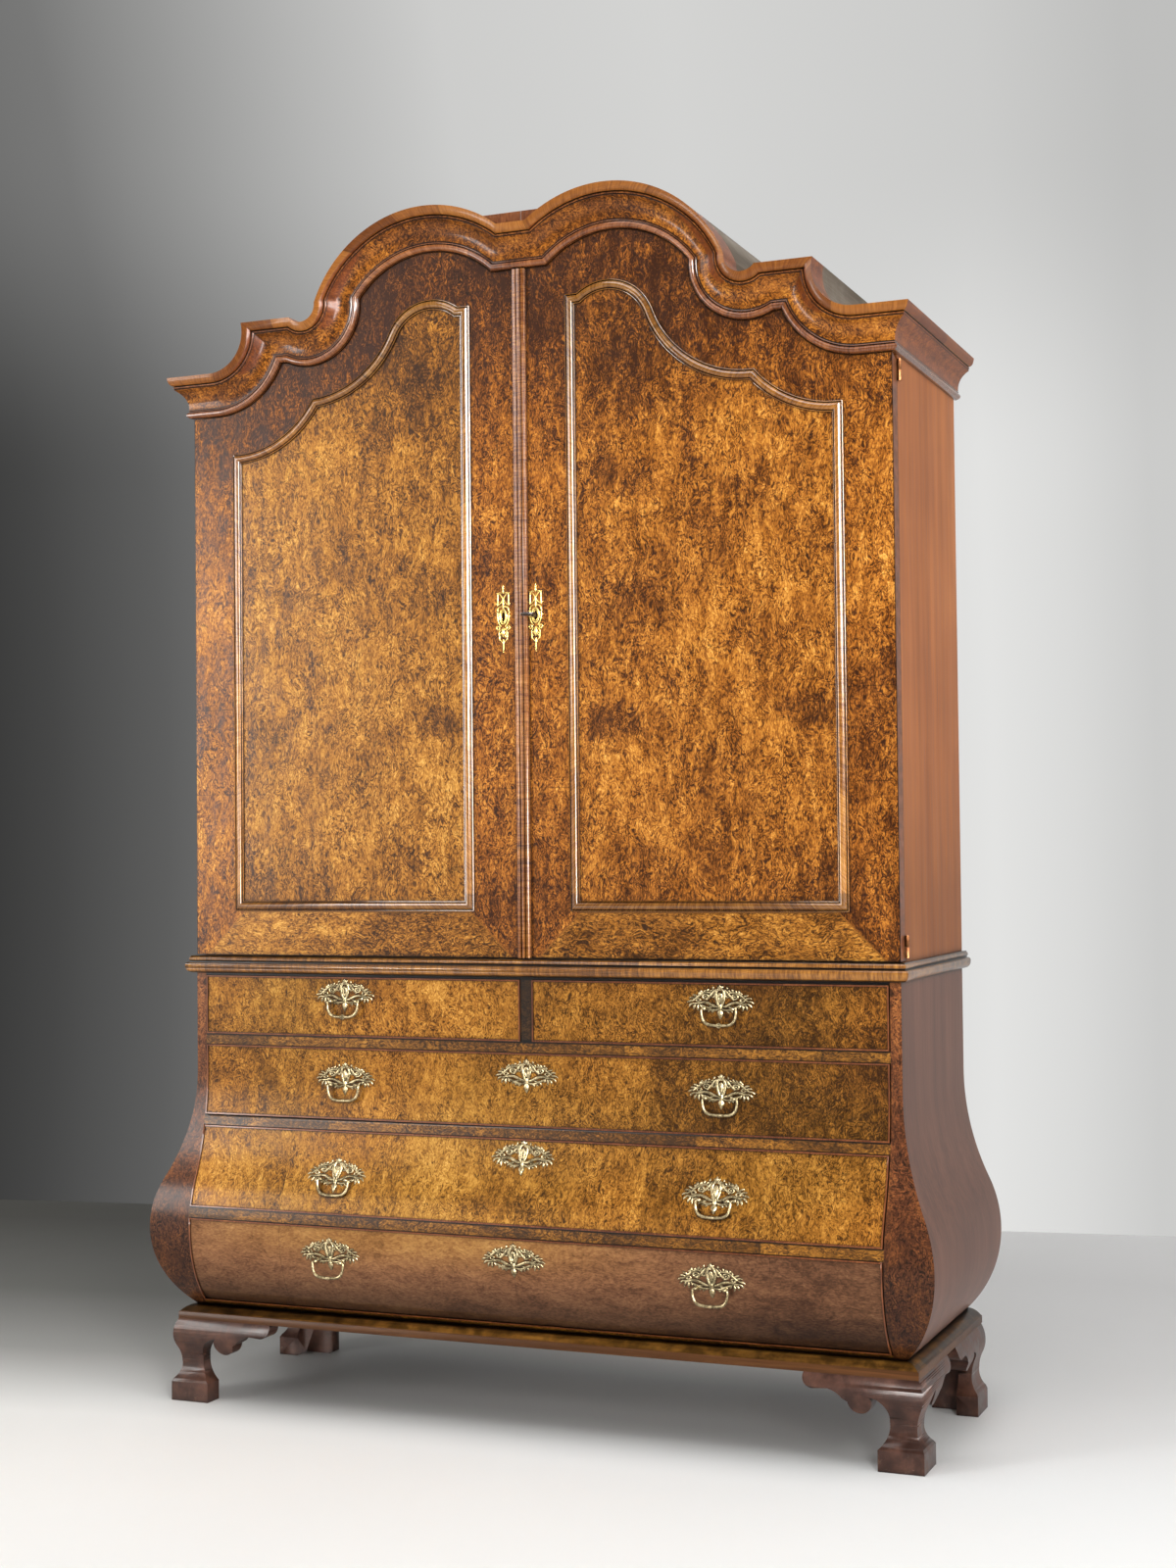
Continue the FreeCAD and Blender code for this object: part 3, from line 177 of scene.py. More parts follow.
class Finish(Wiring):
    """One procedural finish, mixed on Object coordinates. All colours are linear."""

    def __init__(self, name, roughness=0.36, metallic=0.0, coat=0.0, coat_roughness=0.12,
                 gloss=0.20):
        self.material = bpy.data.materials.new(name)
        self.material.use_nodes = True
        super().__init__(self.material.node_tree)
        self.shader = self.tree.nodes["Principled BSDF"]
        for socket, value in (("Metallic", metallic), ("Roughness", roughness),
                              ("Specular IOR Level", gloss), ("Coat Weight", coat),
                              ("Coat Roughness", coat_roughness)):
            self.shader.inputs[socket].default_value = value
        coordinates = self.node("ShaderNodeTexCoord")
        self.place = coordinates.outputs["Object"]
        self.facing = coordinates.outputs["Normal"]
        self.x, self.y, self.z = self.split(self.place)

    def noise(self, at, scale, detail=2.0, rough=0.5, swirl=0.0, colour=False):
        made = self.node("ShaderNodeTexNoise")
        self.feed(made.inputs["Vector"], at)
        for name, value in (("Scale", scale), ("Detail", detail), ("Roughness", rough),
                            ("Distortion", swirl)):
            made.inputs[name].default_value = value
        return made.outputs["Color" if colour else "Fac"]

    def warp(self, at, scale, amount, detail=2.0):
        """Moves the place by a cloud of noise, amount metres at most."""
        cloud = self.noise(at, scale, detail, colour=True)
        cloud = self.vector("SUBTRACT", cloud, (0.5, 0.5, 0.5))
        return self.vector("ADD", at, self.stretched(cloud, (amount,) * 3))

    def chance(self, value, dimensions="1D"):
        """A number from 0 to 1 that differs for each whole value."""
        made = self.node("ShaderNodeTexWhiteNoise", noise_dimensions=dimensions)
        self.feed(made.inputs["W" if dimensions == "1D" else "Vector"], value)
        return made.outputs["Value"]

    def spots(self, at, scale, small, large):
        """1 in round spots, easing to 0 between the sizes small and large."""
        cells = self.node("ShaderNodeTexVoronoi")
        cells.inputs["Scale"].default_value = scale
        self.feed(cells.inputs["Vector"], at)
        return self.fade(cells.outputs["Distance"], small, large)

    def seam(self, step, low, high):
        """1 where one length of veneer ends and the next begins."""
        part = self.sum("FRACT", step)
        return self.fade(self.sum("MINIMUM", part, self.rest(part)), low, high)

    def grey(self, value):
        return self.join(value, value, value)

    def shade(self, colour, amount):
        """The colour darkened or lightened by a grey amount."""
        return self.mix(1.0, colour, self.grey(amount), "MULTIPLY")

    def dim(self, colour, where, share):
        """The colour darkened by a share where a mask is 1."""
        return self.shade(colour, self.fused(where, -share, 1.0))

    def line(self, value, at, half):
        """1 on a thin line where value is at, 0 beyond half of it."""
        return self.fade(self.unsigned(self.less(value, at)), half * 0.4, half)

    def painted_quirk_shade(self, across, *places):
        """1 in the small grooves of a moulding's section, where shade is painted, at (place across
        its section, half width) each.
        """
        dark = 0.0
        for at, half in places:
            dark = self.most(dark, self.line(across, at, half))
        return dark

    def blots(self, ragged, spots):
        """Soft stains on the front, at (x, z, half width, half height, weight) each.

        Their edges are broken up by ragged, a noise of 0 to 1.
        """
        marks = None
        for centre_x, centre_z, half_x, half_z, weight in spots:
            across = self.sum("DIVIDE", self.less(self.x, centre_x), half_x)
            up = self.sum("DIVIDE", self.less(self.z, centre_z), half_z)
            far = self.sum("SQRT", self.plus(self.times(across, across), self.times(up, up)))
            edge = self.plus(far, self.fused(ragged, 2.4, -1.2))
            mark = self.times(self.fade(edge, 0.55, 1.15), weight)
            marks = mark if marks is None else self.most(marks, mark)
        return marks

    def relief(self, height, depth):
        bump = self.node("ShaderNodeBump")
        bump.inputs["Strength"].default_value = 1.0
        bump.inputs["Distance"].default_value = depth
        self.feed(bump.inputs["Height"], height)
        for socket in ("Normal", "Coat Normal"):
            self.feed(self.shader.inputs[socket], bump.outputs[0])

    def colour(self, value):
        self.feed(self.shader.inputs["Base Color"], value)

    def rough(self, value):
        self.feed(self.shader.inputs["Roughness"], value)

    def dirt_and_painted_shade(self, colour, reach=0.008, dark=0.25, low=0.35, high=0.95):
        """Old wax and dirt in the corners, and painted shade: ambient occlusion darkens corners,
        recesses and gaps.
        """
        close = self.node("ShaderNodeAmbientOcclusion", samples=8)
        close.inputs["Distance"].default_value = reach
        return self.shade(colour, self.span(close.outputs["AO"], low, high, dark, 1.0))


def lay(finish, *names):
    """Puts a finish on whole nodes or pieces."""
    for name in names:
        piece = nodes[name] if isinstance(name, str) else name
        if not piece.material_slots:
            piece.data.materials.append(finish.material)
        for slot in piece.material_slots:
            slot.material = finish.material


# ------------------------------------------------------------------ burr veneer
BURR_STOPS = ((0.06, (0.028, 0.008, 0.002)), (0.30, (0.128, 0.038, 0.005)),
              (0.50, (0.325, 0.108, 0.012)), (0.70, (0.545, 0.225, 0.032)),
              (0.94, (0.800, 0.450, 0.110)))
OLIVE_STOPS = ((0.06, (0.030, 0.012, 0.002)), (0.30, (0.125, 0.050, 0.006)),
               (0.50, (0.285, 0.124, 0.016)), (0.70, (0.455, 0.228, 0.040)),
               (0.94, (0.680, 0.410, 0.115)))
PLUM_STOPS = ((0.08, (0.030, 0.011, 0.005)), (0.32, (0.098, 0.040, 0.018)),
              (0.50, (0.200, 0.088, 0.040)), (0.68, (0.300, 0.146, 0.068)),
              (0.92, (0.450, 0.250, 0.125)))


def burr(f, at, streak=(1.0, 1.0, 0.30), contrast=1.0, curls=1.0):
    """Tone of a burr: curled dark lines, mottled along the grain, with flecks and small eyes."""
    loose = f.warp(at, 8.0, 0.045)
    tight = f.warp(loose, 38.0, 0.016, 1.5)
    drawn = f.stretched(tight, tuple(math.sqrt(part) for part in streak))
    curl = f.noise(drawn, 66.0, 1.6, 0.5, 1.1)
    rings = f.sum("SINE", f.times(curl, 34.0))
    fine = f.noise(drawn, 170.0, 2.0, 0.55, 0.8)
    flecks = f.sum("SINE", f.times(fine, 22.0))
    cloud = f.noise(at, 4.2, 4.0, 0.60)
    mottle = f.noise(f.stretched(tight, streak), 52.0, 4.0, 0.60)
    grain = f.noise(f.stretched(loose, streak), 380.0, 2.0, 0.6)
    tone = f.added(0.5, (cloud, 0.58 * contrast), (mottle, 0.64 * contrast),
                   (fine, 0.50 * contrast), (grain, 0.62 * contrast))
    line = f.span(rings, 0.55, 1.0)
    glint = f.fade(rings, -1.0, -0.45)
    small = f.span(flecks, 0.45, 1.0)
    where = f.span(f.noise(at, 15.0), 0.34, 0.58, 0.45, 1.0)
    for part, weight in ((line, -0.235), (glint, 0.125), (small, -0.130)):
        tone = f.fused(f.times(part, where), weight * contrast * curls, tone)
    eye = f.times(f.spots(tight, 80.0, 0.08, 0.26), f.span(where, 0.75, 1.0))
    vein = f.line(f.noise(loose, 21.0, 3.0, 0.55, 0.8), 0.5, 0.012)
    vein = f.times(vein, f.span(f.noise(at, 9.0, 1.0), 0.50, 0.62))
    dark = f.most(f.times(eye, 0.40 * curls), f.times(vein, 0.62 * curls))
    return tone, dark, curl, mottle


def varnish(f, depth, fine=None):
    """Old hand-rubbed varnish: slow ripples and a few finer ones."""
    ripple = f.noise(f.place, 16.0, 3.0, 0.55)
    if fine is not None:
        ripple = f.fused(fine, 0.22, ripple)
    f.relief(ripple, depth)


def book(f):
    """Place in a sheet folded open where the doors meet, a little unlike its twin."""
    half = f.unsigned(f.x)
    side = f.times(f.sum("SIGN", f.x), 0.010)
    return f.join(f.plus(half, 0.13), side, f.z), half


def door_finish():
    """Frames and fields of the doors, in four folded leaves."""
    f = Finish("door_burr", 0.34, coat=0.06, coat_roughness=0.18, gloss=0.16)
    leaf, half = book(f)
    in_field = f.split(f.node("ShaderNodeUVMap", uv_map="field").outputs[0])[0]
    rail = f.times(f.fade(f.z, 1.070, 1.075),
                   f.fade(f.plus(f.unsigned(f.less(half, LEAF_CENTRE)), f.z), 1.345, 1.350))
    lx, ly, lz = f.split(leaf)
    crossed = f.join(f.plus(lz, 3.1), ly, f.plus(lx, 0.7))
    at = f.node("ShaderNodeMix", data_type="VECTOR")
    f.feed(at.inputs[0], rail)
    f.feed(at.inputs[4], leaf)
    f.feed(at.inputs[5], crossed)
    tone, dark, curl, mottle = burr(f, at.outputs[1], contrast=1.28)
    tone = f.less(tone, 0.010)
    ragged = f.noise(f.warp(f.place, 30.0, 0.03), 34.0, 5.0, 0.75)
    stain = f.blots(ragged,
                    ((0.205, 1.462, 0.066, 0.046, 0.60), (0.620, 1.478, 0.066, 0.040, 0.52),
                     (-0.200, 1.475, 0.060, 0.045, 0.52), (-0.610, 1.470, 0.060, 0.045, 0.25),
                     (0.435, 1.245, 0.110, 0.100, 0.34), (0.270, 1.960, 0.050, 0.050, 0.35),
                     (0.372, 2.030, 0.016, 0.060, 0.50), (-0.290, 1.930, 0.060, 0.110, 0.30),
                     (0.640, 1.150, 0.070, 0.090, 0.35), (0.500, 1.935, 0.050, 0.070, 0.34),
                     (0.555, 2.045, 0.034, 0.018, 0.46), (0.190, 1.985, 0.060, 0.040, 0.30),
                     (-0.330, 2.100, 0.050, 0.060, 0.34), (-0.560, 1.700, 0.040, 0.120, 0.22)))
    tone = f.less(tone, f.times(stain, 0.30))
    # the fields are the brightest and the frames redder; on the fields a painted sheen lightens the
    # left door, and painted shade darkens them towards the crown and a little low down
    left = f.fade(f.x, -0.02, 0.02)
    up = f.span(f.z, 1.90, 2.42)
    low = f.fade(f.z, 0.98, 1.30)
    lift = f.fused(left, 0.045, -0.050)
    lift = f.plus(lift, f.span(half, 0.45, 0.70, 0.0, 0.035))
    lift = f.less(lift, f.times(up, 0.21))
    lift = f.less(lift, f.times(f.span(f.z, 1.40, 1.10), 0.03))
    tone = f.plus(tone, f.times(in_field, lift))
    # the frames' own darker tone, with painted shade deepening towards the crown and low down
    frame_tone_and_painted_light = f.fused(up, -0.27, -0.085)
    frame_tone_and_painted_light = f.plus(frame_tone_and_painted_light, f.times(low, -0.03))
    # painted shade on the upper left of the frames and a painted sheen lower on the left
    far_left_painted_light = f.span(f.x, -0.10, -0.70)
    frame_tone_and_painted_light = f.less(frame_tone_and_painted_light, f.times(f.times(far_left_painted_light, f.span(f.z, 1.75, 2.20)), 0.13))
    frame_tone_and_painted_light = f.plus(frame_tone_and_painted_light, f.times(f.times(far_left_painted_light, f.span(f.z, 1.75, 1.35)), 0.10))
    # painted light on the frames at their outer shoulders
    shoulder = f.span(f.plus(half, f.times(f.z, 0.2)), 1.02, 1.22)
    frame_tone_and_painted_light = f.fused(shoulder, 0.08, frame_tone_and_painted_light)
    tone = f.plus(tone, f.times(f.rest(in_field), frame_tone_and_painted_light))
    colour = f.ramp(tone, BURR_STOPS)
    olive = f.ramp(tone, OLIVE_STOPS)
    green = f.times(in_field, f.fused(left, 0.42, 0.12))
    colour = f.mix(f.most(green, f.times(rail, 0.55)), colour, olive)
    colour = f.shade(colour, f.rest(dark))
    # joints between the sheets
    outside = f.rest(in_field)
    mitre = f.line(f.plus(f.unsigned(f.less(half, LEAF_CENTRE)), f.z), 1.373, 0.0016)
    mitre = f.times(mitre, f.fade(f.z, 1.085, 1.09))
    seams = f.most(mitre, f.line(f.z, 1.517, 0.0011))
    seams = f.most(seams, f.line(f.z, 1.330, 0.0010))
    seams = f.times(f.times(seams, outside), 0.55)
    colour = f.shade(colour, f.rest(seams))
    nx, ny, nz = f.split(f.facing)
    inner = f.most(f.span(f.y, -0.186, -0.184), f.span(ny, 0.5, 0.6))
    bare = f.ramp(f.noise(f.stretched(f.place, (1, 1, 0.06)), 60.0, 5.0, 0.6),
                  ((0.3, (0.075, 0.034, 0.013)), (0.7, (0.150, 0.075, 0.031))))
    colour = f.mix(inner, colour, bare)
    edge = f.span(f.most(f.unsigned(nx), f.unsigned(nz)), 0.6, 0.7)
    plain = f.shade((0.150, 0.048, 0.018),
                    f.span(f.noise(f.place, 60.0, 3.0), 0.3, 0.7, 0.6, 1.3))
    colour = f.mix(edge, colour, plain)
    # painted shadow: dark lines along the doors' outer edges and their foot, where the gaps are
    edge_gap_painted_shadow = f.most(f.line(half, CASE_HALF, 0.0030), f.line(f.z, 0.9755, 0.0030))
    edge_gap_painted_shadow = f.times(f.times(edge_gap_painted_shadow, outside), f.rest(edge))
    colour = f.dim(colour, edge_gap_painted_shadow, 0.85)
    f.colour(f.dirt_and_painted_shade(colour, 0.014, 0.08))
    f.rough(f.span(mottle, 0.3, 0.7, 0.30, 0.42))
    varnish(f, 0.00045, curl)
    return f


def drawer_finish():
    """All the drawer fronts: golden above, plum-brown on the lowest."""
    f = Finish("drawer_burr", 0.38, coat=0.05, coat_roughness=0.18, gloss=0.12)
    bottom = f.fade(f.z, ROW_EDGES[0] - 0.003, ROW_EDGES[0] + 0.003)
    third = f.times(f.fade(f.z, ROW_EDGES[1] - 0.003, ROW_EDGES[1] + 0.003), f.rest(bottom))
    over = [f.sum("GREATER_THAN", f.z, edge) for edge in ROW_EDGES]
    row = f.plus(over[0], f.plus(over[1], over[2]))
    # four leaves to a front, each with a figure of its own
    run = f.plus(f.x, 10 * DRAWER_LEAF)
    number = f.sum("FLOOR", f.sum("DIVIDE", run, DRAWER_LEAF))
    leaf = f.sum("PINGPONG", run, DRAWER_LEAF)
    at = f.join(f.plus(f.x, f.times(row, 1.7)), f.fused(number, 0.21, row), f.z)
    tone, dark, curl, mottle = burr(f, at, (1.0, 1.0, 0.45), 1.05)
    plain, few, *_ = burr(f, f.vector("ADD", f.place, (0.0, 9.0, 0.0)), (0.30, 1.0, 1.0), 0.80,
                          0.12)
    # painted light: the upper round of the lowest drawer lighter and more golden, left of its
    # middle
    pale = f.times(f.span(f.z, 0.300, 0.395), f.span(f.unsigned(f.plus(f.x, 0.25)), 0.75, 0.10))
    plain = f.fused(pale, 0.12, plain)
    tone = f.fused(bottom, f.less(plain, tone), tone)
    dark = f.fused(bottom, f.less(few, dark), dark)
    # painted shade: the fronts darker towards the right, the upper two rows most
    right_painted_shade = f.span(f.x, -0.15, 0.60)
    tone = f.less(tone, f.times(right_painted_shade, f.fused(over[1], 0.18, 0.08)))
    tone = f.less(tone, 0.028)
    ragged = f.noise(f.warp(f.place, 30.0, 0.02), 26.0, 4.0, 0.7)
    knots = f.blots(ragged,
                    ((-0.081, 0.470, 0.012, 0.018, 0.75), (0.035, 0.462, 0.014, 0.007, 0.75),
                     (-0.030, 0.476, 0.110, 0.034, 0.40), (0.060, 0.494, 0.018, 0.006, 0.7),
                     (0.500, 0.470, 0.014, 0.009, 0.4), (-0.230, 0.860, 0.010, 0.030, 0.3)))
    tone = f.less(tone, f.times(knots, 0.36))
    tone = f.fused(third, 0.02, tone)
    olive = f.ramp(tone, OLIVE_STOPS)
    warm = f.ramp(tone, BURR_STOPS)
    colour = f.mix(f.span(f.noise(f.place, 2.2, 2.0), 0.35, 0.65, 0.0, 0.45), olive, warm)
    golden = f.mix(f.times(pale, 0.50), f.ramp(tone, PLUM_STOPS), f.ramp(tone, OLIVE_STOPS))
    colour = f.mix(bottom, colour, golden)
    colour = f.shade(colour, f.rest(f.times(dark, 0.8)))
    joint = f.line(leaf, 0.0, 0.0009)
    colour = f.shade(colour, f.rest(f.times(joint, 0.35)))
    # painted shade: the lowest drawer darker where its front turns down, and towards its right
    underside_painted_shade = f.times(bottom, f.fade(f.z, 0.222, 0.345))
    colour = f.dim(colour, underside_painted_shade, 0.70)
    colour = f.dim(colour, bottom, 0.10)
    right_low_painted_shade = f.times(bottom, f.span(f.x, 0.10, 0.65))
    colour = f.dim(colour, right_low_painted_shade, 0.26)
    colour = f.mix(f.span(f.y, -0.1915, -0.1885), colour, (0.10, 0.05, 0.02))
    f.colour(f.dirt_and_painted_shade(colour, 0.016, 0.05, 0.45, 0.99))
    f.rough(f.span(mottle, 0.3, 0.7, 0.32, 0.44))
    varnish(f, 0.00045, curl)
    return f


def banded_finish(name, along, stops, pitch, roughness=0.26, shaded_quirks=(), coat=0.9):
    """Short cross-grained lengths set end to end, each with a tone of its own.

    They follow the x or z axis, or the run of a moulding by its map called veneer.
    """
    f = Finish(name, roughness, coat=coat, coat_roughness=0.09, gloss=0.25)
    place = f.place
    if along == "run":
        place = f.node("ShaderNodeUVMap", uv_map="veneer").outputs[0]
    axis = 2 if along == "z" else 0
    run = f.split(place)[axis]
    uneven = f.times(f.sum("SINE", f.times(run, 23.0)), 0.22)
    step = f.plus(f.sum("DIVIDE", run, pitch), uneven)
    number = f.sum("FLOOR", step)
    side = f.sum("SIGN", f.x)
    odd = f.chance(f.join(number, side, 0.0), "2D")
    seam = f.seam(step, 0.003, 0.010)
    stretch = tuple(1.0 if i == axis else 0.12 for i in range(3))
    shifted = f.vector("ADD", f.warp(place, 14.0, 0.004), f.grey(f.times(number, 0.37)))
    fibre = f.noise(f.stretched(shifted, stretch), 240.0, 4.0, 0.65)
    figure = f.noise(shifted, 30.0, 3.0, 0.6)
    tone = f.added(0.5, (fibre, 0.95), (figure, 0.60), (odd, 0.26))
    colour = f.ramp(tone, stops)
    colour = f.dim(colour, seam, 0.45)
    if name == "door_banding":
        # painted shade: the panel mouldings darker towards the crown; their bottom run is made
        # darker
        colour = f.shade(colour, f.span(f.z, 2.0, 2.25, 1.0, 0.50))
        level = f.times(f.fade(f.z, 1.108, 1.112), 0.40)
        colour = f.shade(colour, f.rest(level))
    # painted shade in the small grooves of the section
    if shaded_quirks:
        across = f.z if along == "x" else f.split(place)[1]
        dark = f.painted_quirk_shade(across, *shaded_quirks)
        colour = f.dim(colour, dark, 0.93)
    f.colour(f.dirt_and_painted_shade(colour, 0.006, 0.06))
    f.relief(f.plus(f.noise(f.place, 22.0), f.times(seam, -0.25)), 0.0003)
    return f


GOLD_BAND = ((0.05, (0.050, 0.016, 0.003)), (0.35, (0.190, 0.066, 0.011)),
             (0.60, (0.370, 0.150, 0.026)), (0.95, (0.640, 0.310, 0.075)))
BEAD_BAND = ((0.05, (0.030, 0.008, 0.003)), (0.40, (0.100, 0.028, 0.009)),
             (0.65, (0.190, 0.060, 0.018)), (0.95, (0.350, 0.140, 0.045)))
WAIST_BAND = ((0.10, (0.030, 0.009, 0.002)), (0.42, (0.150, 0.054, 0.009)),
              (0.65, (0.330, 0.135, 0.022)), (0.95, (0.600, 0.310, 0.070)))
STRIP_BAND = ((0.05, (0.040, 0.011, 0.003)), (0.40, (0.170, 0.052, 0.011)),
              (0.65, (0.330, 0.120, 0.024)), (0.95, (0.560, 0.240, 0.060)))
RED_BAND = ((0.05, (0.030, 0.009, 0.003)), (0.40, (0.125, 0.038, 0.012)),
            (0.65, (0.230, 0.078, 0.024)), (0.95, (0.390, 0.160, 0.055)))


def straight_finish(name, stops, roughness=0.42, along="z", coat=0.0, fibre_scale=150.0,
                    gloss=0.10):
    """Plain straight-grained boards: the finish, its tone, its colour and its fibre."""
    f = Finish(name, roughness, coat=coat, coat_roughness=0.2, gloss=gloss)
    tight, broad = (tuple(share if axis == along else 1.0 for axis in "xyz")
                    for share in (0.02, 0.05))
    bent = f.warp(f.place, 2.5, 0.030)
    fibre = f.noise(f.stretched(bent, tight), fibre_scale, 4.0, 0.65)
    bands = f.noise(f.stretched(bent, broad), 16.0, 3.0, 0.55)
    cloud = f.noise(f.place, 3.0, 3.0)
    tone = f.added(0.5, (fibre, 0.75), (bands, 0.75), (cloud, 0.45))
    return f, tone, f.ramp(tone, stops), fibre


# from dark to light
SIDE_STOPS = ((0.10, (0.128, 0.036, 0.010)), (0.42, (0.275, 0.090, 0.027)),
              (0.60, (0.368, 0.130, 0.041)), (0.95, (0.520, 0.210, 0.074)))
LOWER_STOPS = ((0.10, (0.036, 0.013, 0.007)), (0.45, (0.082, 0.033, 0.019)),
               (0.70, (0.120, 0.050, 0.030)), (0.95, (0.180, 0.082, 0.050)))
EDGE_STOPS = ((0.10, (0.014, 0.005, 0.002)), (0.35, (0.070, 0.022, 0.008)),
              (0.55, (0.165, 0.055, 0.016)), (0.78, (0.330, 0.130, 0.032)),
              (0.95, (0.520, 0.260, 0.075)))
PLINTH_STOPS = ((0.10, (0.030, 0.012, 0.004)), (0.45, (0.130, 0.055, 0.012)),
                (0.70, (0.250, 0.112, 0.020)), (0.95, (0.420, 0.210, 0.046)))
OAK_STOPS = ((0.10, (0.120, 0.066, 0.030)), (0.45, (0.270, 0.165, 0.082)),
             (0.70, (0.370, 0.245, 0.130)), (0.95, (0.470, 0.330, 0.190)))
ROOF_STOPS = ((0.10, (0.045, 0.036, 0.028)), (0.45, (0.110, 0.090, 0.070)),
              (0.70, (0.165, 0.138, 0.110)), (0.95, (0.240, 0.205, 0.165)))
BACK_STOPS = ((0.10, (0.070, 0.040, 0.020)), (0.45, (0.165, 0.100, 0.052)),
              (0.70, (0.240, 0.155, 0.085)), (0.95, (0.330, 0.225, 0.130)))


def side_finish():
    """Upper sides: straight reddish veneer."""
    f, _, colour, fibre = straight_finish("upper_side_veneer", SIDE_STOPS)
    colour = f.mix(f.span(f.unsigned(f.x), 0.779, 0.778), colour, (0.22, 0.13, 0.07))
    colour = f.shade(colour, f.span(f.z, 1.0, 1.45, 0.66, 1.0))
    f.colour(f.dirt_and_painted_shade(colour, 0.02, 0.35))
    f.rough(f.span(fibre, 0.3, 0.7, 0.36, 0.48))
    varnish(f, 0.0004, fibre)
    return f


def lower_side_finish():
    """Lower sides: burr on the swelling front edges, straight plum-brown veneer outside."""
    f, _, colour, _ = straight_finish("lower_side_veneer", LOWER_STOPS, 0.38, coat=0.12,
                                      gloss=0.14)
    edge = f.fade(f.split(f.facing)[1], -0.62, -0.55)
    mirrored = f.join(f.unsigned(f.x), 0.3, f.z)
    figure, dark, curl, _ = burr(f, mirrored, (1.0, 1.0, 0.5))
    rich = f.ramp(f.less(figure, 0.10), EDGE_STOPS)
    rich = f.shade(rich, f.rest(dark))
    # painted light and shade: the swelling edges lighter high up and darker low down
    rich = f.shade(rich, f.span(f.z, 0.25, 0.66, 0.46, 1.25))
    colour = f.mix(edge, colour, rich)
    f.colour(f.dirt_and_painted_shade(colour, 0.012, 0.15))
    varnish(f, 0.0003, curl)
    return f


def crown_finish():
    """Cornice: dark burr in the hollow, cross-banded orange veneer on the top edge."""
    f = Finish("crown_burr", 0.36, coat=0.22, coat_roughness=0.12, gloss=0.12)
    half = f.unsigned(f.x)
    proud = f.most(f.less(FRONT, f.y), f.less(half, CASE_HALF))
    fascia = f.span(proud, 0.0335, 0.0345)
    tone, dark, *_ = burr(f, f.join(half, f.y, f.z), (0.6, 0.6, 0.6), 1.0)
    tone = f.less(tone, 0.15)
    tone = f.plus(tone, f.span(f.x, 0.15, 0.75, 0.0, 0.09))
    hollow = f.shade(f.ramp(tone, BURR_STOPS), f.rest(dark))
    ridge = f.times(f.line(proud, 0.0328, 0.0011), f.span(f.z, 2.0, 2.1))
    veneer = f.node("ShaderNodeUVMap", uv_map="veneer").outputs[0]
    run = f.split(veneer)[0]
    step = f.plus(f.sum("DIVIDE", run, 0.145), f.times(f.sum("SINE", f.times(run, 17.0)), 0.25))
    odd = f.chance(f.sum("FLOOR", step))
    seam = f.seam(step, 0.003, 0.010)
    fibre = f.noise(f.stretched(f.warp(veneer, 12.0, 0.01), (1.0, 0.10, 1.0)), 240.0, 4.0, 0.65)
    band = f.added(0.5, (fibre, 0.7), (odd, 0.35))
    lit = f.shade(f.ramp(band, STRIP_BAND), f.fused(seam, -0.4, 0.86))
    colour = f.mix(fascia, hollow, lit)
    colour = f.mix(f.times(ridge, 0.6), colour, f.ramp(f.plus(tone, 0.12), RED_BAND))
    # painted shade in the small grooves of the section
    quirk_painted_shade = f.painted_quirk_shade(f.split(veneer)[1], (0.0, 0.0030), (0.0554, 0.0026), (0.0630, 0.0030))
    colour = f.dim(colour, quirk_painted_shade, 0.92)
    along_side = f.span(f.unsigned(f.split(f.facing)[0]), 0.45, 0.55)
    plain = f.noise(f.stretched(f.place, (1.0, 0.08, 1.0)), 90.0, 4.0, 0.6)
    colour = f.mix(f.times(along_side, 0.55), colour, f.ramp(plain, RED_BAND))
    # painted shade: the side returns darkened and reddened
    colour = f.mix(f.times(along_side, 0.60), colour, (0.80, 0.50, 0.34), "MULTIPLY")
    f.colour(f.dirt_and_painted_shade(colour, 0.010, 0.06))
    varnish(f, 0.0003)
    return f


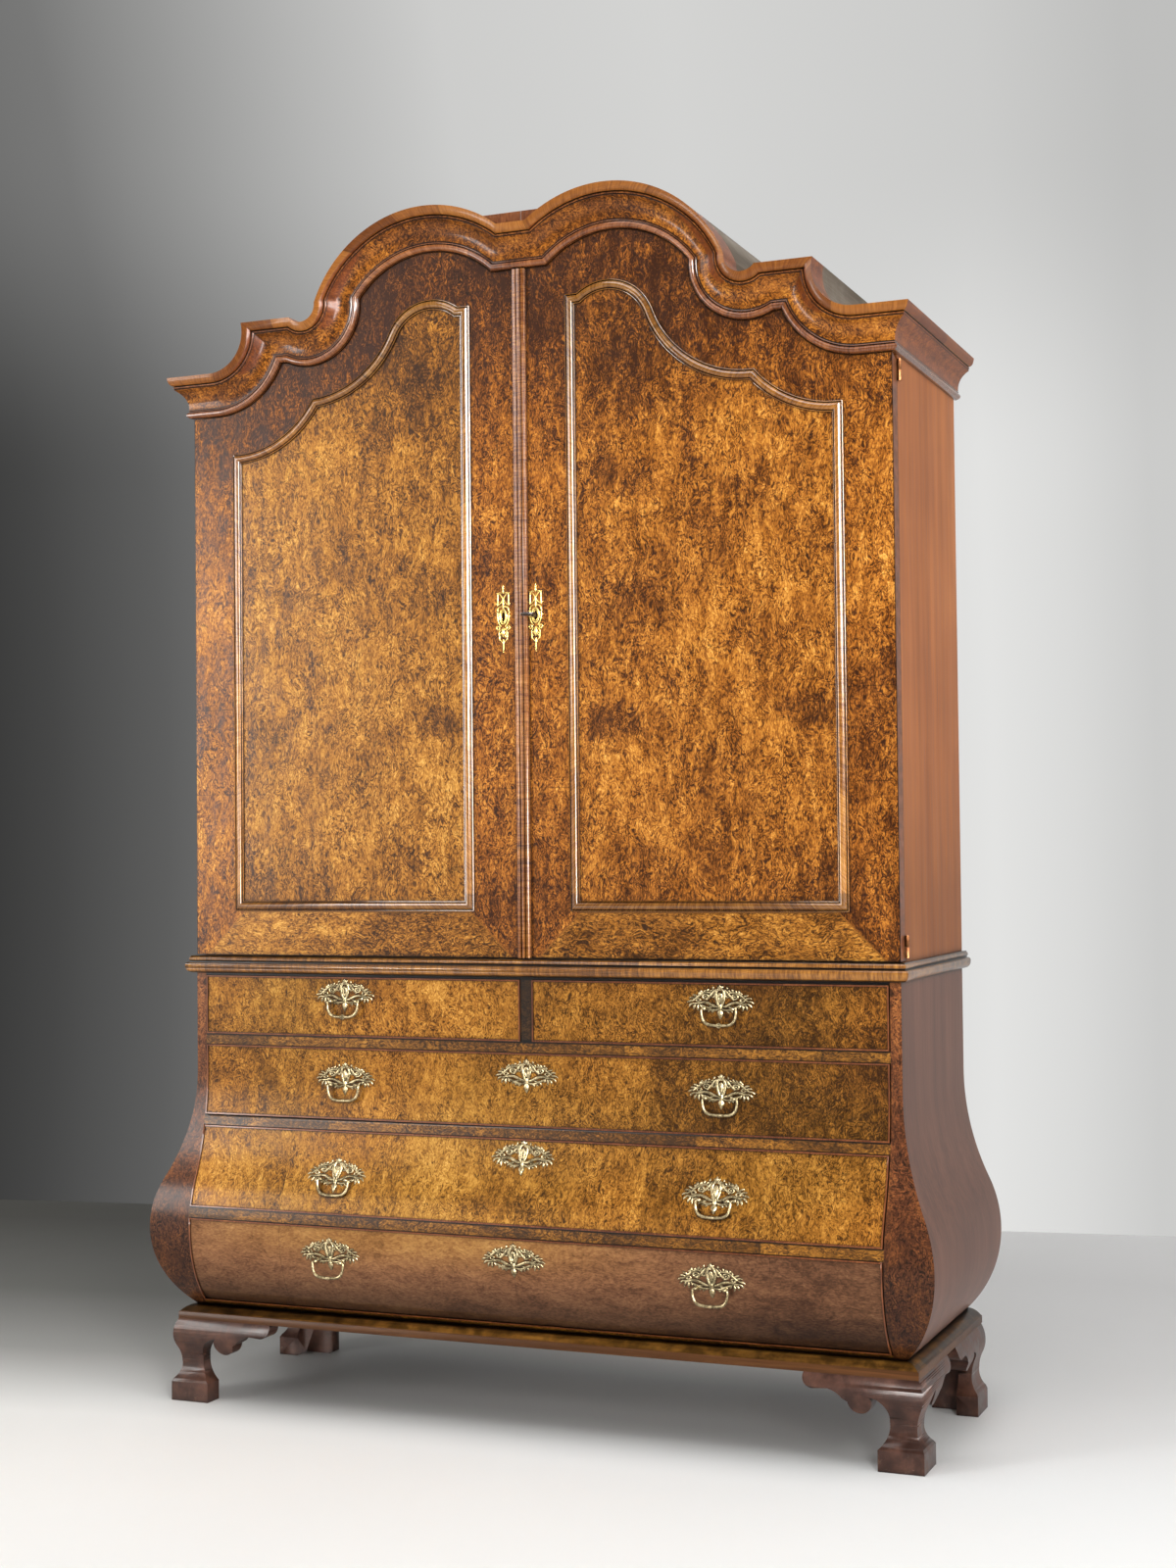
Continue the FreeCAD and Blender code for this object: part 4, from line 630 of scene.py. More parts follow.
def rail_finish():
    """Rails between the drawers: burr strips end to end, with painted shadow at their edges."""
    f = Finish("rail_burr", 0.38, coat=0.12, coat_roughness=0.20)
    step = f.plus(f.sum("DIVIDE", f.x, 0.42), f.times(f.sum("FLOOR", f.times(f.z, 5.6)), 0.37))
    odd = f.chance(f.sum("FLOOR", step))
    seam = f.seam(step, 0.003, 0.009)
    at = f.join(f.plus(f.x, f.times(odd, 3.0)), f.y, f.z)
    tone, dark, curl, _ = burr(f, at, (0.35, 1.0, 1.0))
    tone = f.plus(tone, f.fused(odd, 0.16, -0.29))
    # painted shade towards the right
    tone = f.less(tone, f.span(f.x, 0.0, 0.6, 0.0, 0.06))
    colour = f.mix(0.85, f.ramp(tone, BURR_STOPS), f.ramp(tone, OLIVE_STOPS))
    colour = f.shade(colour, f.rest(f.most(dark, f.times(seam, 0.5))))
    # painted shadow: dark lines where the drawers meet the rails, below and above them, and a dark
    # upright between the upper two
    rail_gap_painted_shadow = f.span(f.z, 0.9290, 0.9300)
    for edge, half in ((0.4320, 0.0050), (0.6260, 0.0050), (0.8025, 0.0050), (0.4070, 0.0024),
                       (0.6020, 0.0024), (0.7780, 0.0024)):
        rail_gap_painted_shadow = f.most(rail_gap_painted_shadow, f.line(f.z, edge, half))
    colour = f.dim(colour, rail_gap_painted_shadow, 0.95)
    upright = f.times(f.fade(f.unsigned(f.x), 0.0135, 0.0140), f.span(f.z, 0.7990, 0.8020))
    colour = f.dim(colour, upright, 0.80)
    colour = f.mix(f.span(f.y, -0.185, -0.180), colour, (0.12, 0.06, 0.025))
    f.colour(f.dirt_and_painted_shade(colour, 0.012, 0.03))
    varnish(f, 0.0004, curl)
    return f


def plinth_finish():
    """Plinth: a golden-olive round over a dark reddish fillet."""
    f, tone, colour, _ = straight_finish("plinth_wood", PLINTH_STOPS, 0.36, "x", 0.08, 120.0)
    mottle = f.noise(f.warp(f.place, 20.0, 0.02), 26.0, 3.0, 0.6)
    colour = f.shade(colour, f.span(mottle, 0.35, 0.65, 0.40, 1.40))
    # painted shade: darker towards the right and on the end faces
    colour = f.shade(colour, f.span(f.x, -0.2, 0.6, 1.0, 0.45))
    colour = f.shade(colour, f.span(f.unsigned(f.split(f.facing)[0]), 0.5, 0.6, 1.0, 0.45))
    fillet = f.fade(f.z, 0.1925, 0.1935)
    red = f.ramp(tone, ((0.1, (0.020, 0.007, 0.003)), (0.5, (0.062, 0.024, 0.008)),
                        (0.9, (0.150, 0.062, 0.020))))
    f.colour(f.dirt_and_painted_shade(f.mix(fillet, colour, red), 0.012, 0.06))
    varnish(f, 0.0004, mottle)
    return f


def foot_finish():
    """Feet: dark wood, scuffed low down."""
    f = Finish("foot_wood", 0.36, coat=0.2, coat_roughness=0.18)
    bent = f.warp(f.place, 12.0, 0.02)
    fibre = f.noise(f.stretched(bent, (1.0, 1.0, 0.5)), 90.0, 5.0, 0.65)
    cloud = f.noise(f.place, 22.0, 4.0, 0.6)
    tone = f.added(0.5, (fibre, 0.25), (cloud, 0.9))
    colour = f.ramp(tone, ((0.15, (0.009, 0.004, 0.003)), (0.45, (0.036, 0.015, 0.010)),
                           (0.70, (0.088, 0.038, 0.024)), (0.95, (0.180, 0.086, 0.052))))
    scuffs = f.span(f.noise(f.place, 70.0, 5.0, 0.7), 0.60, 0.72)
    low = f.span(f.z, 0.0, 0.06, 1.0, 0.25)
    colour = f.mix(f.times(f.times(scuffs, low), 0.35), colour, (0.24, 0.15, 0.10))
    f.colour(f.dirt_and_painted_shade(colour, 0.015, 0.35))
    f.rough(f.span(cloud, 0.3, 0.7, 0.28, 0.46))
    f.relief(f.plus(cloud, f.times(fibre, 0.2)), 0.0006)
    return f


def inner_finish():
    """Unseen boards: plain pale oak, waxed."""
    f, _, colour, fibre = straight_finish("inner_oak", OAK_STOPS, 0.6, "x")
    f.colour(f.dirt_and_painted_shade(colour, 0.02, 0.4))
    f.relief(fibre, 0.0004)
    return f


def roof_finish():
    """Roof boards: grey-brown, dusty, never polished."""
    f, _, colour, fibre = straight_finish("roof_board", ROOF_STOPS, 0.7, "y")
    dust = f.span(f.noise(f.place, 9.0, 5.0, 0.65), 0.45, 0.75)
    colour = f.mix(f.times(dust, 0.35), colour, (0.30, 0.28, 0.25))
    f.colour(colour)
    f.relief(fibre, 0.0006)
    return f


def back_finish():
    """Back boards: upright grain with a few dark knots."""
    f, _, colour, fibre = straight_finish("back_board", BACK_STOPS, 0.62, fibre_scale=110.0)
    knot = f.spots(f.stretched(f.place, (1.0, 1.0, 0.7)), 3.1, 0.02, 0.07)
    colour = f.dim(colour, knot, 0.65)
    f.colour(f.dirt_and_painted_shade(colour, 0.012, 0.35))
    f.relief(fibre, 0.0006)
    return f


def metal_finish(name, high, low, dirt, roughness, pits=0.0006):
    """Cast metal: rubbed bright on top, dark in its hollows."""
    f = Finish(name, roughness, metallic=1.0)
    cloud = f.noise(f.place, 120.0, 4.0, 0.65)
    spots = f.noise(f.place, 420.0, 3.0, 0.6)
    tone = f.added(cloud, (spots, 0.6))
    colour = f.mix(f.span(tone, 0.38, 0.62), low, high)
    hollow = f.node("ShaderNodeAmbientOcclusion", samples=8)
    hollow.inputs["Distance"].default_value = 0.005
    colour = f.mix(f.span(hollow.outputs["AO"], 0.35, 0.95), dirt, colour)
    f.colour(colour)
    f.rough(f.span(tone, 0.35, 0.65, roughness + 0.14, roughness - 0.06))
    f.relief(f.fused(spots, 0.4, cloud), pits)
    return f


drawer_wood = drawer_finish()
for drawer in ("top_left", "top_right", "second", "third", "bottom"):
    lay(drawer_wood, f"drawer_{drawer}_front")
lay(banded_finish("platform_banding", "x", RED_BAND, 0.34), "vase_platform")
lay(rail_finish(), "drawer_rails")
lay(banded_finish("waist_banding", "x", WAIST_BAND, 0.24, 0.3, (
    (0.9360, 0.0060), (0.9620, 0.0032), (0.9740, 0.0028)), 0.5), "waist_moulding")
lay(plinth_finish(), "plinth_frame")
lay(banded_finish("strip_veneer", "z", STRIP_BAND, 0.31, 0.26, coat=0.6), "astragal")
lay(banded_finish("cock_bead", "x", BEAD_BAND, 0.60, 0.36, coat=0.3),
    *(name for name in nodes if name.endswith("_cockbead")))
lay(side_finish(), "upper_left_side", "upper_right_side")
lay(foot_finish(), *(name for name in nodes if name.startswith("foot_")))
lay(inner_finish(), "drawer_runners", "lower_boards", "shelves", "door_header",
    *(name for name in nodes if name.endswith("_box")))
lay(roof_finish(), "roof_boards")
lay(back_finish(), "upper_back")
gilt = metal_finish("door_brass", (0.93, 0.70, 0.24), (0.62, 0.42, 0.12), (0.07, 0.045, 0.015),
                    0.26)
aged = metal_finish("drawer_brass", (0.42, 0.34, 0.195), (0.13, 0.10, 0.054),
                    (0.009, 0.006, 0.003), 0.38)
iron = metal_finish("forged_iron", (0.11, 0.10, 0.095), (0.045, 0.04, 0.038),
                    (0.012, 0.011, 0.01), 0.38)
steel = metal_finish("lock_steel", (0.52, 0.52, 0.50), (0.35, 0.34, 0.33), (0.08, 0.07, 0.06),
                     0.30)
dull = metal_finish("hinge_brass", (0.34, 0.15, 0.060), (0.22, 0.085, 0.035),
                    (0.06, 0.028, 0.012), 0.46)
shadow = Finish("keyhole_shadow", 0.8, gloss=0.0)
shadow.colour(shadow.shade((0.012, 0.008, 0.005), shadow.noise(shadow.place, 300.0, 2.0)))
lay(dull, "case_hinges", "left_door_brasses", "right_door_brasses")
lay(iron, "door_lock")
lay(steel, "lock_bolt")


# ------------------------------------------------------------------ making pieces
record = frame["record"]
BODY_OF = {node: body for body, names in record["behaviour"]["bodies"].items() for node in names}


def alone(piece):
    """Only this piece is selected and active."""
    bpy.ops.object.select_all(action="DESELECT")
    piece.select_set(True)
    bpy.context.view_layer.objects.active = piece


def stands_for(piece, *names):
    """The piece takes the place and body of its nodes, which are hidden."""
    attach(piece, BODY_OF[names[0]])
    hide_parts(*names)


def soften(piece, degrees=38):
    """Rounds are shaded smooth, edges stay crisp."""
    alone(piece)
    bpy.ops.object.shade_smooth_by_angle(angle=math.radians(degrees))


def edited(change, **settings):
    """Runs one change of the mesh on all of the active piece."""
    bpy.ops.object.mode_set(mode="EDIT")
    bpy.ops.mesh.select_all(action="SELECT")
    change(**settings)
    bpy.ops.object.mode_set(mode="OBJECT")


def copy_of(name, label):
    """A piece of its own made from a node's solid, with its corners joined."""
    piece = bpy.data.objects.new(label, nodes[name].data.copy())
    scene.collection.objects.link(piece)
    alone(piece)
    edited(bpy.ops.mesh.remove_doubles, threshold=0.00001)
    return piece


def rounded(*names, degrees=38, carved=False):
    """Curved boards and mouldings keep their shape and are shaded smooth.

    On carved ones the large faces keep their own direction, so that no streaks run over them.
    """
    for name in names:
        piece = copy_of(name, f"{name}_smooth")
        soften(piece, degrees)
        if carved:
            bpy.ops.object.modifier_add(type="WEIGHTED_NORMAL")
            bpy.context.object.modifiers[-1].keep_sharp = True
            bpy.ops.object.modifier_apply(modifier=bpy.context.object.modifiers[-1].name)
        stands_for(piece, name)


def skin(name, rows, section=None, closed=False):
    """A mesh through rows of points; closed rows come back to their start.

    The rows follow the run of a moulding, one for each corner of its section, and the section is
    closed. The map called veneer gives each corner its place along the run and across it.
    """
    form = bmesh.new()
    veneer = form.loops.layers.uv.new("veneer")
    count = len(rows[0])
    grid = [[form.verts.new(point) for point in row] for row in rows]
    along = [0.0]
    middle = rows[len(rows) // 2]
    for first, second in zip(middle, middle[1:] + middle[:1]):
        along.append(along[-1] + (Vector(second) - Vector(first)).length)
    corners = section or [row[0] for row in rows]
    across = [0.0]
    for first, second in zip(corners, corners[1:] + corners[:1]):
        across.append(across[-1] + (Vector(second) - Vector(first)).length)
    for j, row in enumerate(grid):
        above = grid[(j + 1) % len(grid)]
        for i in range(count if closed else count - 1):
            k = (i + 1) % count
            face = form.faces.new((row[i], row[k], above[k], above[i]))
            corners = ((i, j), (i + 1, j), (i + 1, j + 1), (i, j + 1))
            for loop, (u, v) in zip(face.loops, corners):
                loop[veneer].uv = (along[u], across[v])
    if not closed:
        for i in (0, count - 1):
            form.faces.new([row[i] for row in grid])
    bmesh.ops.recalc_face_normals(form, faces=form.faces)
    data = bpy.data.meshes.new(name)
    form.to_mesh(data)
    form.free()
    piece = bpy.data.objects.new(name, data)
    scene.collection.objects.link(piece)
    return piece


def joined(name, pieces):
    """Several shells made one piece."""
    alone(pieces[0])
    for piece in pieces:
        piece.select_set(True)
    bpy.ops.object.join()
    pieces[0].name = name
    return pieces[0]


# ------------------------------------------------------------------ the crown
def arc(circle, start, end, turn, count):
    """Points on a circle of (x, z, radius) from start to end; turn 1 is anticlockwise."""
    x, z, radius = circle
    first = math.atan2(start[1] - z, start[0] - x)
    last = math.atan2(end[1] - z, end[0] - x)
    if turn > 0 and last < first:
        last += 2 * math.pi
    if turn < 0 and last > first:
        last -= 2 * math.pi
    angles = [first + (last - first) * i / count for i in range(count + 1)]
    return [(x + radius * math.cos(a), z + radius * math.sin(a)) for a in angles]


def upper_meet(first, second):
    """The higher of the two points where circles of (x, z, radius) cross."""
    (x0, z0, r0), (x1, z1, r1) = first, second
    apart = math.hypot(x1 - x0, z1 - z0)
    along = (r0 ** 2 - r1 ** 2 + apart ** 2) / (2 * apart)
    aside = math.sqrt(r0 ** 2 - along ** 2)
    ux, uz = (x1 - x0) / apart, (z1 - z0) / apart
    return x0 + along * ux - aside * uz, z0 + along * uz + aside * ux


def beside(circle, height, side):
    """Where a circle is cut at a height, on its right (1) or left (-1)."""
    x, z, radius = circle
    return x + side * math.sqrt(radius ** 2 - (height - z) ** 2)


def below(circle, x):
    """The lower height at which a circle passes x."""
    return circle[1] - math.sqrt(circle[2] ** 2 - (x - circle[0]) ** 2)


# heights of the cornice's underside at its ends, in its middle dip and on its ledges, and the
# circles of its skyline, each as (x, z, radius)
CROWN_HEIGHT = 0.088
END_HEIGHT = 2.172
DIP_HEIGHT = END_HEIGHT + 0.251
LEDGE_HEIGHT = END_HEIGHT + 0.105
ARCH_LOW = (0.2107, END_HEIGHT + 0.0957, 0.2143)
ARCH_HIGH = (0.2057, END_HEIGHT + 0.1157, 0.2822)
HOLLOW = (0.504, END_HEIGHT + 0.216, 0.124)
STEP = (0.735, END_HEIGHT + 0.173, 0.173)


def crown_line(level, reach):
    """The skyline of the cornice, from left to right, at a level above its underside."""
    part = level / CROWN_HEIGHT
    arch = tuple(low + part * (high - low) for low, high in zip(ARCH_LOW, ARCH_HIGH))
    hollow = (HOLLOW[0], HOLLOW[1], HOLLOW[2] - level)
    step = (STEP[0], STEP[1], STEP[2] - level)
    dip, ledge = DIP_HEIGHT + level, LEDGE_HEIGHT + level
    rise = (beside(arch, dip, -1), dip)
    meet = upper_meet(arch, hollow)
    out = (beside(hollow, ledge, 1), ledge)
    head = (beside(step, ledge, -1), ledge)
    foot = (STEP[0], END_HEIGHT + level)
    right = arc(arch, rise, meet, -1, 40) + arc(hollow, meet, out, 1, 18)[1:]
    right += arc(step, head, foot, 1, 20) + [(reach, END_HEIGHT + level)]
    return [(-x, z) for x, z in reversed(right)] + right


def crown_piece(name, section, replaced):
    """A moulding of (level, proud) points over the doors and back along both sides."""
    low, high = section[0][0], section[-1][0]
    behind = [(high, 0.0), (high, -BEHIND_DOORS), (low, -BEHIND_DOORS), (low, 0.0)]
    rows = []
    for level, proud in section + behind:
        line = crown_line(level, CASE_HALF + max(proud, 0.0))
        rows.append([(x, FRONT - proud, z) for x, z in line])
    shells = [skin(name, rows, section + behind)]
    for side in (-1, 1):
        rows = []
        for level, proud in section + [(high, 0.0), (low, 0.0)]:
            x, z = side * (CASE_HALF + proud), END_HEIGHT + level
            rows.append([(x, y, z) for y in (FRONT - proud, -0.1, 0.0, 0.1, 0.2, CASE_BACK)])
        shells.append(skin(f"{name}_{side}", rows, section + [(high, 0.0), (low, 0.0)]))
    piece = joined(name, shells)
    soften(piece, 30)
    stands_for(piece, *replaced)
    return piece


def in_metres(points):
    """Points given in millimetres."""
    return [tuple(MM * value for value in point) for point in points]


BEAD_SECTION = in_metres(
    ((0, 3), (0.5, 5), (1.6, 8), (3.2, 10.8), (5.2, 12.5), (7.4, 13), (9.6, 12.6), (11.5, 11.4),
     (12.8, 9.8), (13.4, 8.6), (13.6, 7.6), (14.4, 7.4), (15.2, 8.4), (16.2, 8.9), (17.2, 8.7),
     (18, 8)))
COVE_SECTION = in_metres(
    ((18, 8), (22, 7.8), (28, 8.2), (34, 9.4), (40, 11.6), (46, 14.8), (51, 18.6), (55.4, 23),
     (59, 27.6), (61.8, 32), (62.6, 32.4), (63.4, 31.4), (64, 31.2), (64.8, 32.2), (66.2, 33.4),
     (67.8, 33.4), (69, 32.4), (69.6, 31.6), (70.2, 33), (71.2, 36), (73, 38.6), (76, 40.8),
     (80, 42.4), (84, 43.4), (88, 44)))


# ------------------------------------------------------------------ mouldings round the panels
def panel_line(meet_x, inset):
    """The arched outline of a right-hand panel, set in by inset, as one closed run of points."""
    side, low = CASE_HALF - STILE - inset, PANEL_FOOT + inset
    meet, corner = meet_x + inset, END_HEIGHT + 0.185 - inset
    arch = (meet_x + 0.093, END_HEIGHT + 0.097, 0.110 - inset)
    reach, hollow_x = 0.110 + 0.218, 0.505
    hollow_z = arch[1] + math.sqrt(reach ** 2 - (hollow_x - arch[0]) ** 2)
    hollow = (hollow_x, hollow_z, 0.218 + inset)
    end = (0.686, END_HEIGHT + 0.132, 0.220 + inset)
    share = arch[2] / reach
    touch = (arch[0] + share * (hollow_x - arch[0]), arch[1] + share * (hollow_z - arch[1]))
    upper = upper_meet(hollow, end)
    apart = math.hypot(end[0] - hollow[0], end[1] - hollow[1])
    across = ((end[0] - hollow[0]) / apart, (end[1] - hollow[1]) / apart)
    shift = (upper[0] - hollow[0]) * across[0] + (upper[1] - hollow[1]) * across[1]
    base = (hollow[0] + shift * across[0], hollow[1] + shift * across[1])
    cusp = (2 * base[0] - upper[0], 2 * base[1] - upper[1])
    shoulder = (beside(arch, corner, -1), corner)
    last = (side, below(end, side))
    line = [(meet, low), (meet, corner)] + arc(arch, shoulder, touch, -1, 26)
    line += arc(hollow, touch, cusp, 1, 18)[1:] + arc(end, cusp, last, 1, 12)[1:]
    return line + [(side, low)]


PANEL_SECTION = in_metres(
    ((0, 0), (0, 2.4), (0.4, 3.3), (1.2, 3.8), (2.1, 3.6), (2.7, 2.8), (3.1, 2.2), (3.6, 2.8),
     (4.2, 4.2), (5.3, 5.8), (7.0, 7.4), (9.2, 8.7), (11.6, 9.4), (13.8, 9.3), (15.6, 8.5),
     (17.0, 7.1), (17.9, 5.4), (18.3, 4.0), (18.8, 3.4), (19.3, 4.0), (20.1, 4.5), (21.0, 4.2),
     (21.7, 3.2), (22, 0)))


def panel_moulding(hand, meet_x):
    """The moulding round a door's panel."""
    side = 1 if hand == "right" else -1
    rows = []
    for inset, proud in PANEL_SECTION:
        rows.append([(side * x, FRONT - proud, z) for x, z in panel_line(meet_x, inset)])
    piece = skin(f"{hand}_panel_moulding", rows, PANEL_SECTION, closed=True)
    soften(piece, 34)
    stands_for(piece, f"{hand}_door_moulding")
    return piece


def within(x, z, outline):
    """Whether a point lies inside a closed outline of (x, z) points."""
    inside = False
    for (x0, z0), (x1, z1) in zip(outline, outline[1:] + outline[:1]):
        if (z0 > z) != (z1 > z) and x < x0 + (z - z0) * (x1 - x0) / (z1 - z0):
            inside = not inside
    return inside


def door_board(hand, meet_x):
    """A door's frame and field; the map called field is 1 on the field and 0 on the frame."""
    side = 1 if hand == "right" else -1
    piece = copy_of(f"{hand}_door_panel", f"{hand}_door_board")
    edge = panel_line(meet_x, PANEL_SECTION[-1][0] / 2)
    marks = piece.data.uv_layers.new(name="field")
    for face in piece.data.polygons:
        mark = float(within(side * face.center.x, face.center.z, edge))
        for corner in face.loop_indices:
            marks.data[corner].uv = (mark, 0.0)
    stands_for(piece, f"{hand}_door_panel")
    return piece


# ------------------------------------------------------------------ the swelling sides
SWELL_START, SWELL_JOINT, SWELL_PEAK = 0.720, 0.4888, 0.383   # heights
SWELL_HOLLOW, SWELL_ROUND = 0.5355, 0.245   # radii of the hollow above and the round below


def swell(height):
    """How far the drawer fronts stand out at a height."""
    if height >= SWELL_START:
        return 0.0
    if height >= SWELL_JOINT:
        return SWELL_HOLLOW - math.sqrt(SWELL_HOLLOW ** 2 - (SWELL_START - height) ** 2)
    return -0.1685 + math.sqrt(SWELL_ROUND ** 2 - (height - SWELL_PEAK) ** 2)


def lower_side(hand):
    """A side of the drawer case: its outside and its mitred front edge follow the swelling."""
    side = 1 if hand == "right" else -1
    node = f"lower_{hand}_side"
    (_, _, low), (_, back, high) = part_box(node)
    inner = CASE_HALF - SIDE_THICKNESS
    heights = [low + (high - low) * i / 90 for i in range(91)]
    corners = (lambda s: (inner, FRONT - s), lambda s: (CASE_HALF + s, FRONT - s),
               lambda s: (CASE_HALF + s, back), lambda s: (inner, back))
    rows = []
    for corner in corners:
        spots = [corner(swell(z)) for z in heights]
        rows.append([(side * x, y, z) for (x, y), z in zip(spots, heights)])
    piece = skin(f"{node}_swept", rows)
    soften(piece)
    stands_for(piece, node)
    return piece


# ------------------------------------------------------------------ cast brass
def ribs(name, strokes, sides=2, steps=4, weight=1.0):
    """Cast ribs: each stroke is a smooth run of (x, y, z, radius); the flag closes it to a ring."""
    curve = bpy.data.curves.new(name, "CURVE")
    curve.dimensions = "3D"
    curve.bevel_depth = 1.0
    curve.bevel_resolution = sides
    curve.resolution_u = steps
    curve.use_fill_caps = True
    for points, ring in strokes:
        spline = curve.splines.new("NURBS")
        spline.points.add(len(points) - 1)
        for point, (x, y, z, radius) in zip(spline.points, points):
            point.co = (MM * x, MM * y, MM * z, 1)
            point.radius = MM * weight * radius
        spline.order_u = 3
        spline.use_cyclic_u = ring
        spline.use_endpoint_u = not ring
    piece = bpy.data.objects.new(name, curve)
    scene.collection.objects.link(piece)
    alone(piece)
    bpy.ops.object.convert(target="MESH")
    bpy.ops.object.shade_smooth()
    return bpy.context.object


def flat_stroke(points, lift=0.0):
    """A stroke drawn on the plate: (x, z, radius) points, thin where they begin and end."""
    return [(x, -lift, z, radius) for x, z, radius in points], False


def both(strokes):
    """The strokes and their mirror images."""
    mirrored = [([(-x, y, z, r) for x, y, z, r in points], ring) for points, ring in strokes]
    return strokes + mirrored


def turns(count):
    """Angles all the way round, in even steps."""
    return [2 * math.pi * i / count for i in range(count)]


def ring_stroke(x, z, half_x, half_z, radius, lift=0.0, count=8):
    """An oval ring on the plate."""
    return [(x + half_x * math.cos(turn), -lift, z + half_z * math.sin(turn), radius)
            for turn in turns(count)], True


def leaf(x, z, angle, length, width, curl=0.0):
    """A pointed leaf from (x, z), angle in degrees from the right, bending by curl."""
    points = []
    for share, radius in ((0.0, 0.5), (0.28, 0.95), (0.58, 1.0), (0.84, 0.6), (1.0, 0.16)):
        turn = math.radians(angle + curl * share)
        points.append((x + share * length * math.cos(turn), z + share * length * math.sin(turn),
                       radius * width))
    return flat_stroke(points, 0.3)


def drawer_plate_strokes(locked):
    """A rococo drawer plate about its own middle, in millimetres."""
    right = [
        # the long scroll from the foot of the middle to the end leaves
        flat_stroke([(2, -11, 1.0), (9, -11, 1.9), (17, -6.5, 2.1), (26, -1.8, 1.9),
                     (36, -2.0, 1.9), (45, -5.5, 1.7), (53, -4, 0.8)], 0.8),
        # the upper scroll, round the hollow ring
        flat_stroke([(4, 24, 1.2), (10, 23, 1.7), (15, 15, 1.8), (20, 9, 1.6), (26, 3, 1.2)], 0.7),
        flat_stroke([(17, 17, 0.8), (24, 19, 1.5), (32, 17, 1.7), (40, 11, 1.6), (47, 4, 1.5),
                     (54, 0, 1.0)], 0.7),
        ring_stroke(28, 9.5, 5.6, 5.0, 1.3, 0.4), ring_stroke(42, 2.5, 4.4, 3.4, 1.1, 0.5),
        ring_stroke(13.5, 12.5, 3.4, 4.6, 1.0, 0.3),
        # rib beside the middle
        flat_stroke([(3, 26, 1.2), (7.5, 20, 1.9), (7.8, 10, 1.7), (6.2, 1, 1.9),
                     (3.4, -8, 1.6)], 0.9),
        # feathered wing below the long scroll
        flat_stroke([(3, -15, 1.0), (11, -18.5, 1.8), (21, -16, 2.0), (30, -11, 1.7),
                     (37, -7, 0.8)], 0.4),
        leaf(12, -17, -52, 8, 1.4), leaf(20, -16, -60, 7, 1.3), leaf(27, -13, -64, 7, 1.2),
        leaf(16, -11, -10, 12, 1.6, -14),
    ]
    # leaves on the upper edge
    for x, z, angle, length, width in (
            (19, 19, 112, 6, 1.2), (24, 19, 84, 7, 1.3), (31, 17, 96, 7, 1.4), (35, 15, 62, 8, 1.5),
            (40, 11, 80, 9, 1.6), (43, 8, 52, 11, 1.6), (47, 5, 32, 12, 1.5), (51, 1, 8, 13, 1.5),
            (50, -3, -16, 13, 1.5), (46, -6, -42, 12, 1.6), (42, -7, -66, 12, 1.6),
            (38, -6, -92, 9, 1.4), (13, 24, 70, 6, 1.2)):
        right.append(leaf(x, z, angle, length, width, 26 if angle > 60 else -26))
    middle = [
        leaf(0, 25, 90, 9.5, 2.0), leaf(0, 24, 60, 9, 1.6, -16), leaf(0, 24, 120, 9, 1.6, 16),
        leaf(1, 22, 30, 10, 1.5, -20), leaf(-1, 22, 150, 10, 1.5, 20),
        flat_stroke([(0, -6, 2.2), (0, -12, 3.2), (0, -17, 2.2)], 0.8),
        leaf(0, -15, -90, 21, 3.0), leaf(1.5, -17, -66, 13, 1.7, -18),
        leaf(-1.5, -17, -114, 13, 1.7, 18),
    ]
    if locked:
        middle.append(ring_stroke(0, 7, 3.4, 10, 1.7, 0.9))
    else:
        middle += [ring_stroke(0, 8, 3.2, 8.6, 1.5, 0.8), flat_stroke(
            [(0, 18, 0.8), (0, 13, 2.1), (0, 7, 2.3), (0, 0, 1.8), (0, -5, 0.8)], 1.0)]
    balls = both([([(28, -1.6, 9.8, 0.6), (28, -2.4, 9.8, 1.8), (28, -3.4, 9.8, 0.5)], False)])
    return both(right) + middle + balls


def on_front(piece, centre_x, centre_z, flatten=0.85, spread=1.0):
    """Lays a flat casting on the swelling drawer front."""
    for vertex in piece.data.vertices:
        x, y, z = vertex.co
        height = centre_z + z
        vertex.co = (centre_x + spread * x, FRONT - swell(height) + flatten * y, height)
    piece.data.update()


POST_DROP, POST_STAND = 0.014, 0.012   # below the plate's middle, and out from the wood
THIRD_ROW_LEAN = -11                   # degrees that its bails lean from the upright
PLATE_WEIGHT, PLATE_SPREAD = 1.55, 1.12   # of the ribs, and sideways


def pivot(handle_z):
    """Where the posts stand on the wood, and the way out from it."""
    height = handle_z - POST_DROP
    lean = (swell(height - 0.005) - swell(height + 0.005)) / 0.010
    out = Vector((0, -1, lean)).normalized()
    return Vector((0, FRONT - swell(height), height)), out


def post_strokes(side):
    """A turned post, drawn upright; its head is pierced by the bail."""
    profile = ((-1.0, 4.6), (0.6, 4.8), (1.6, 4.2), (2.4, 2.6), (5.0, 2.2), (7.2, 2.6),
               (9.0, 3.9), (11.6, 4.3), (14.0, 3.5), (15.4, 1.4), (15.8, 0.3))
    return [(side * 30.0, -stand, 0.0, radius) for stand, radius in profile], False


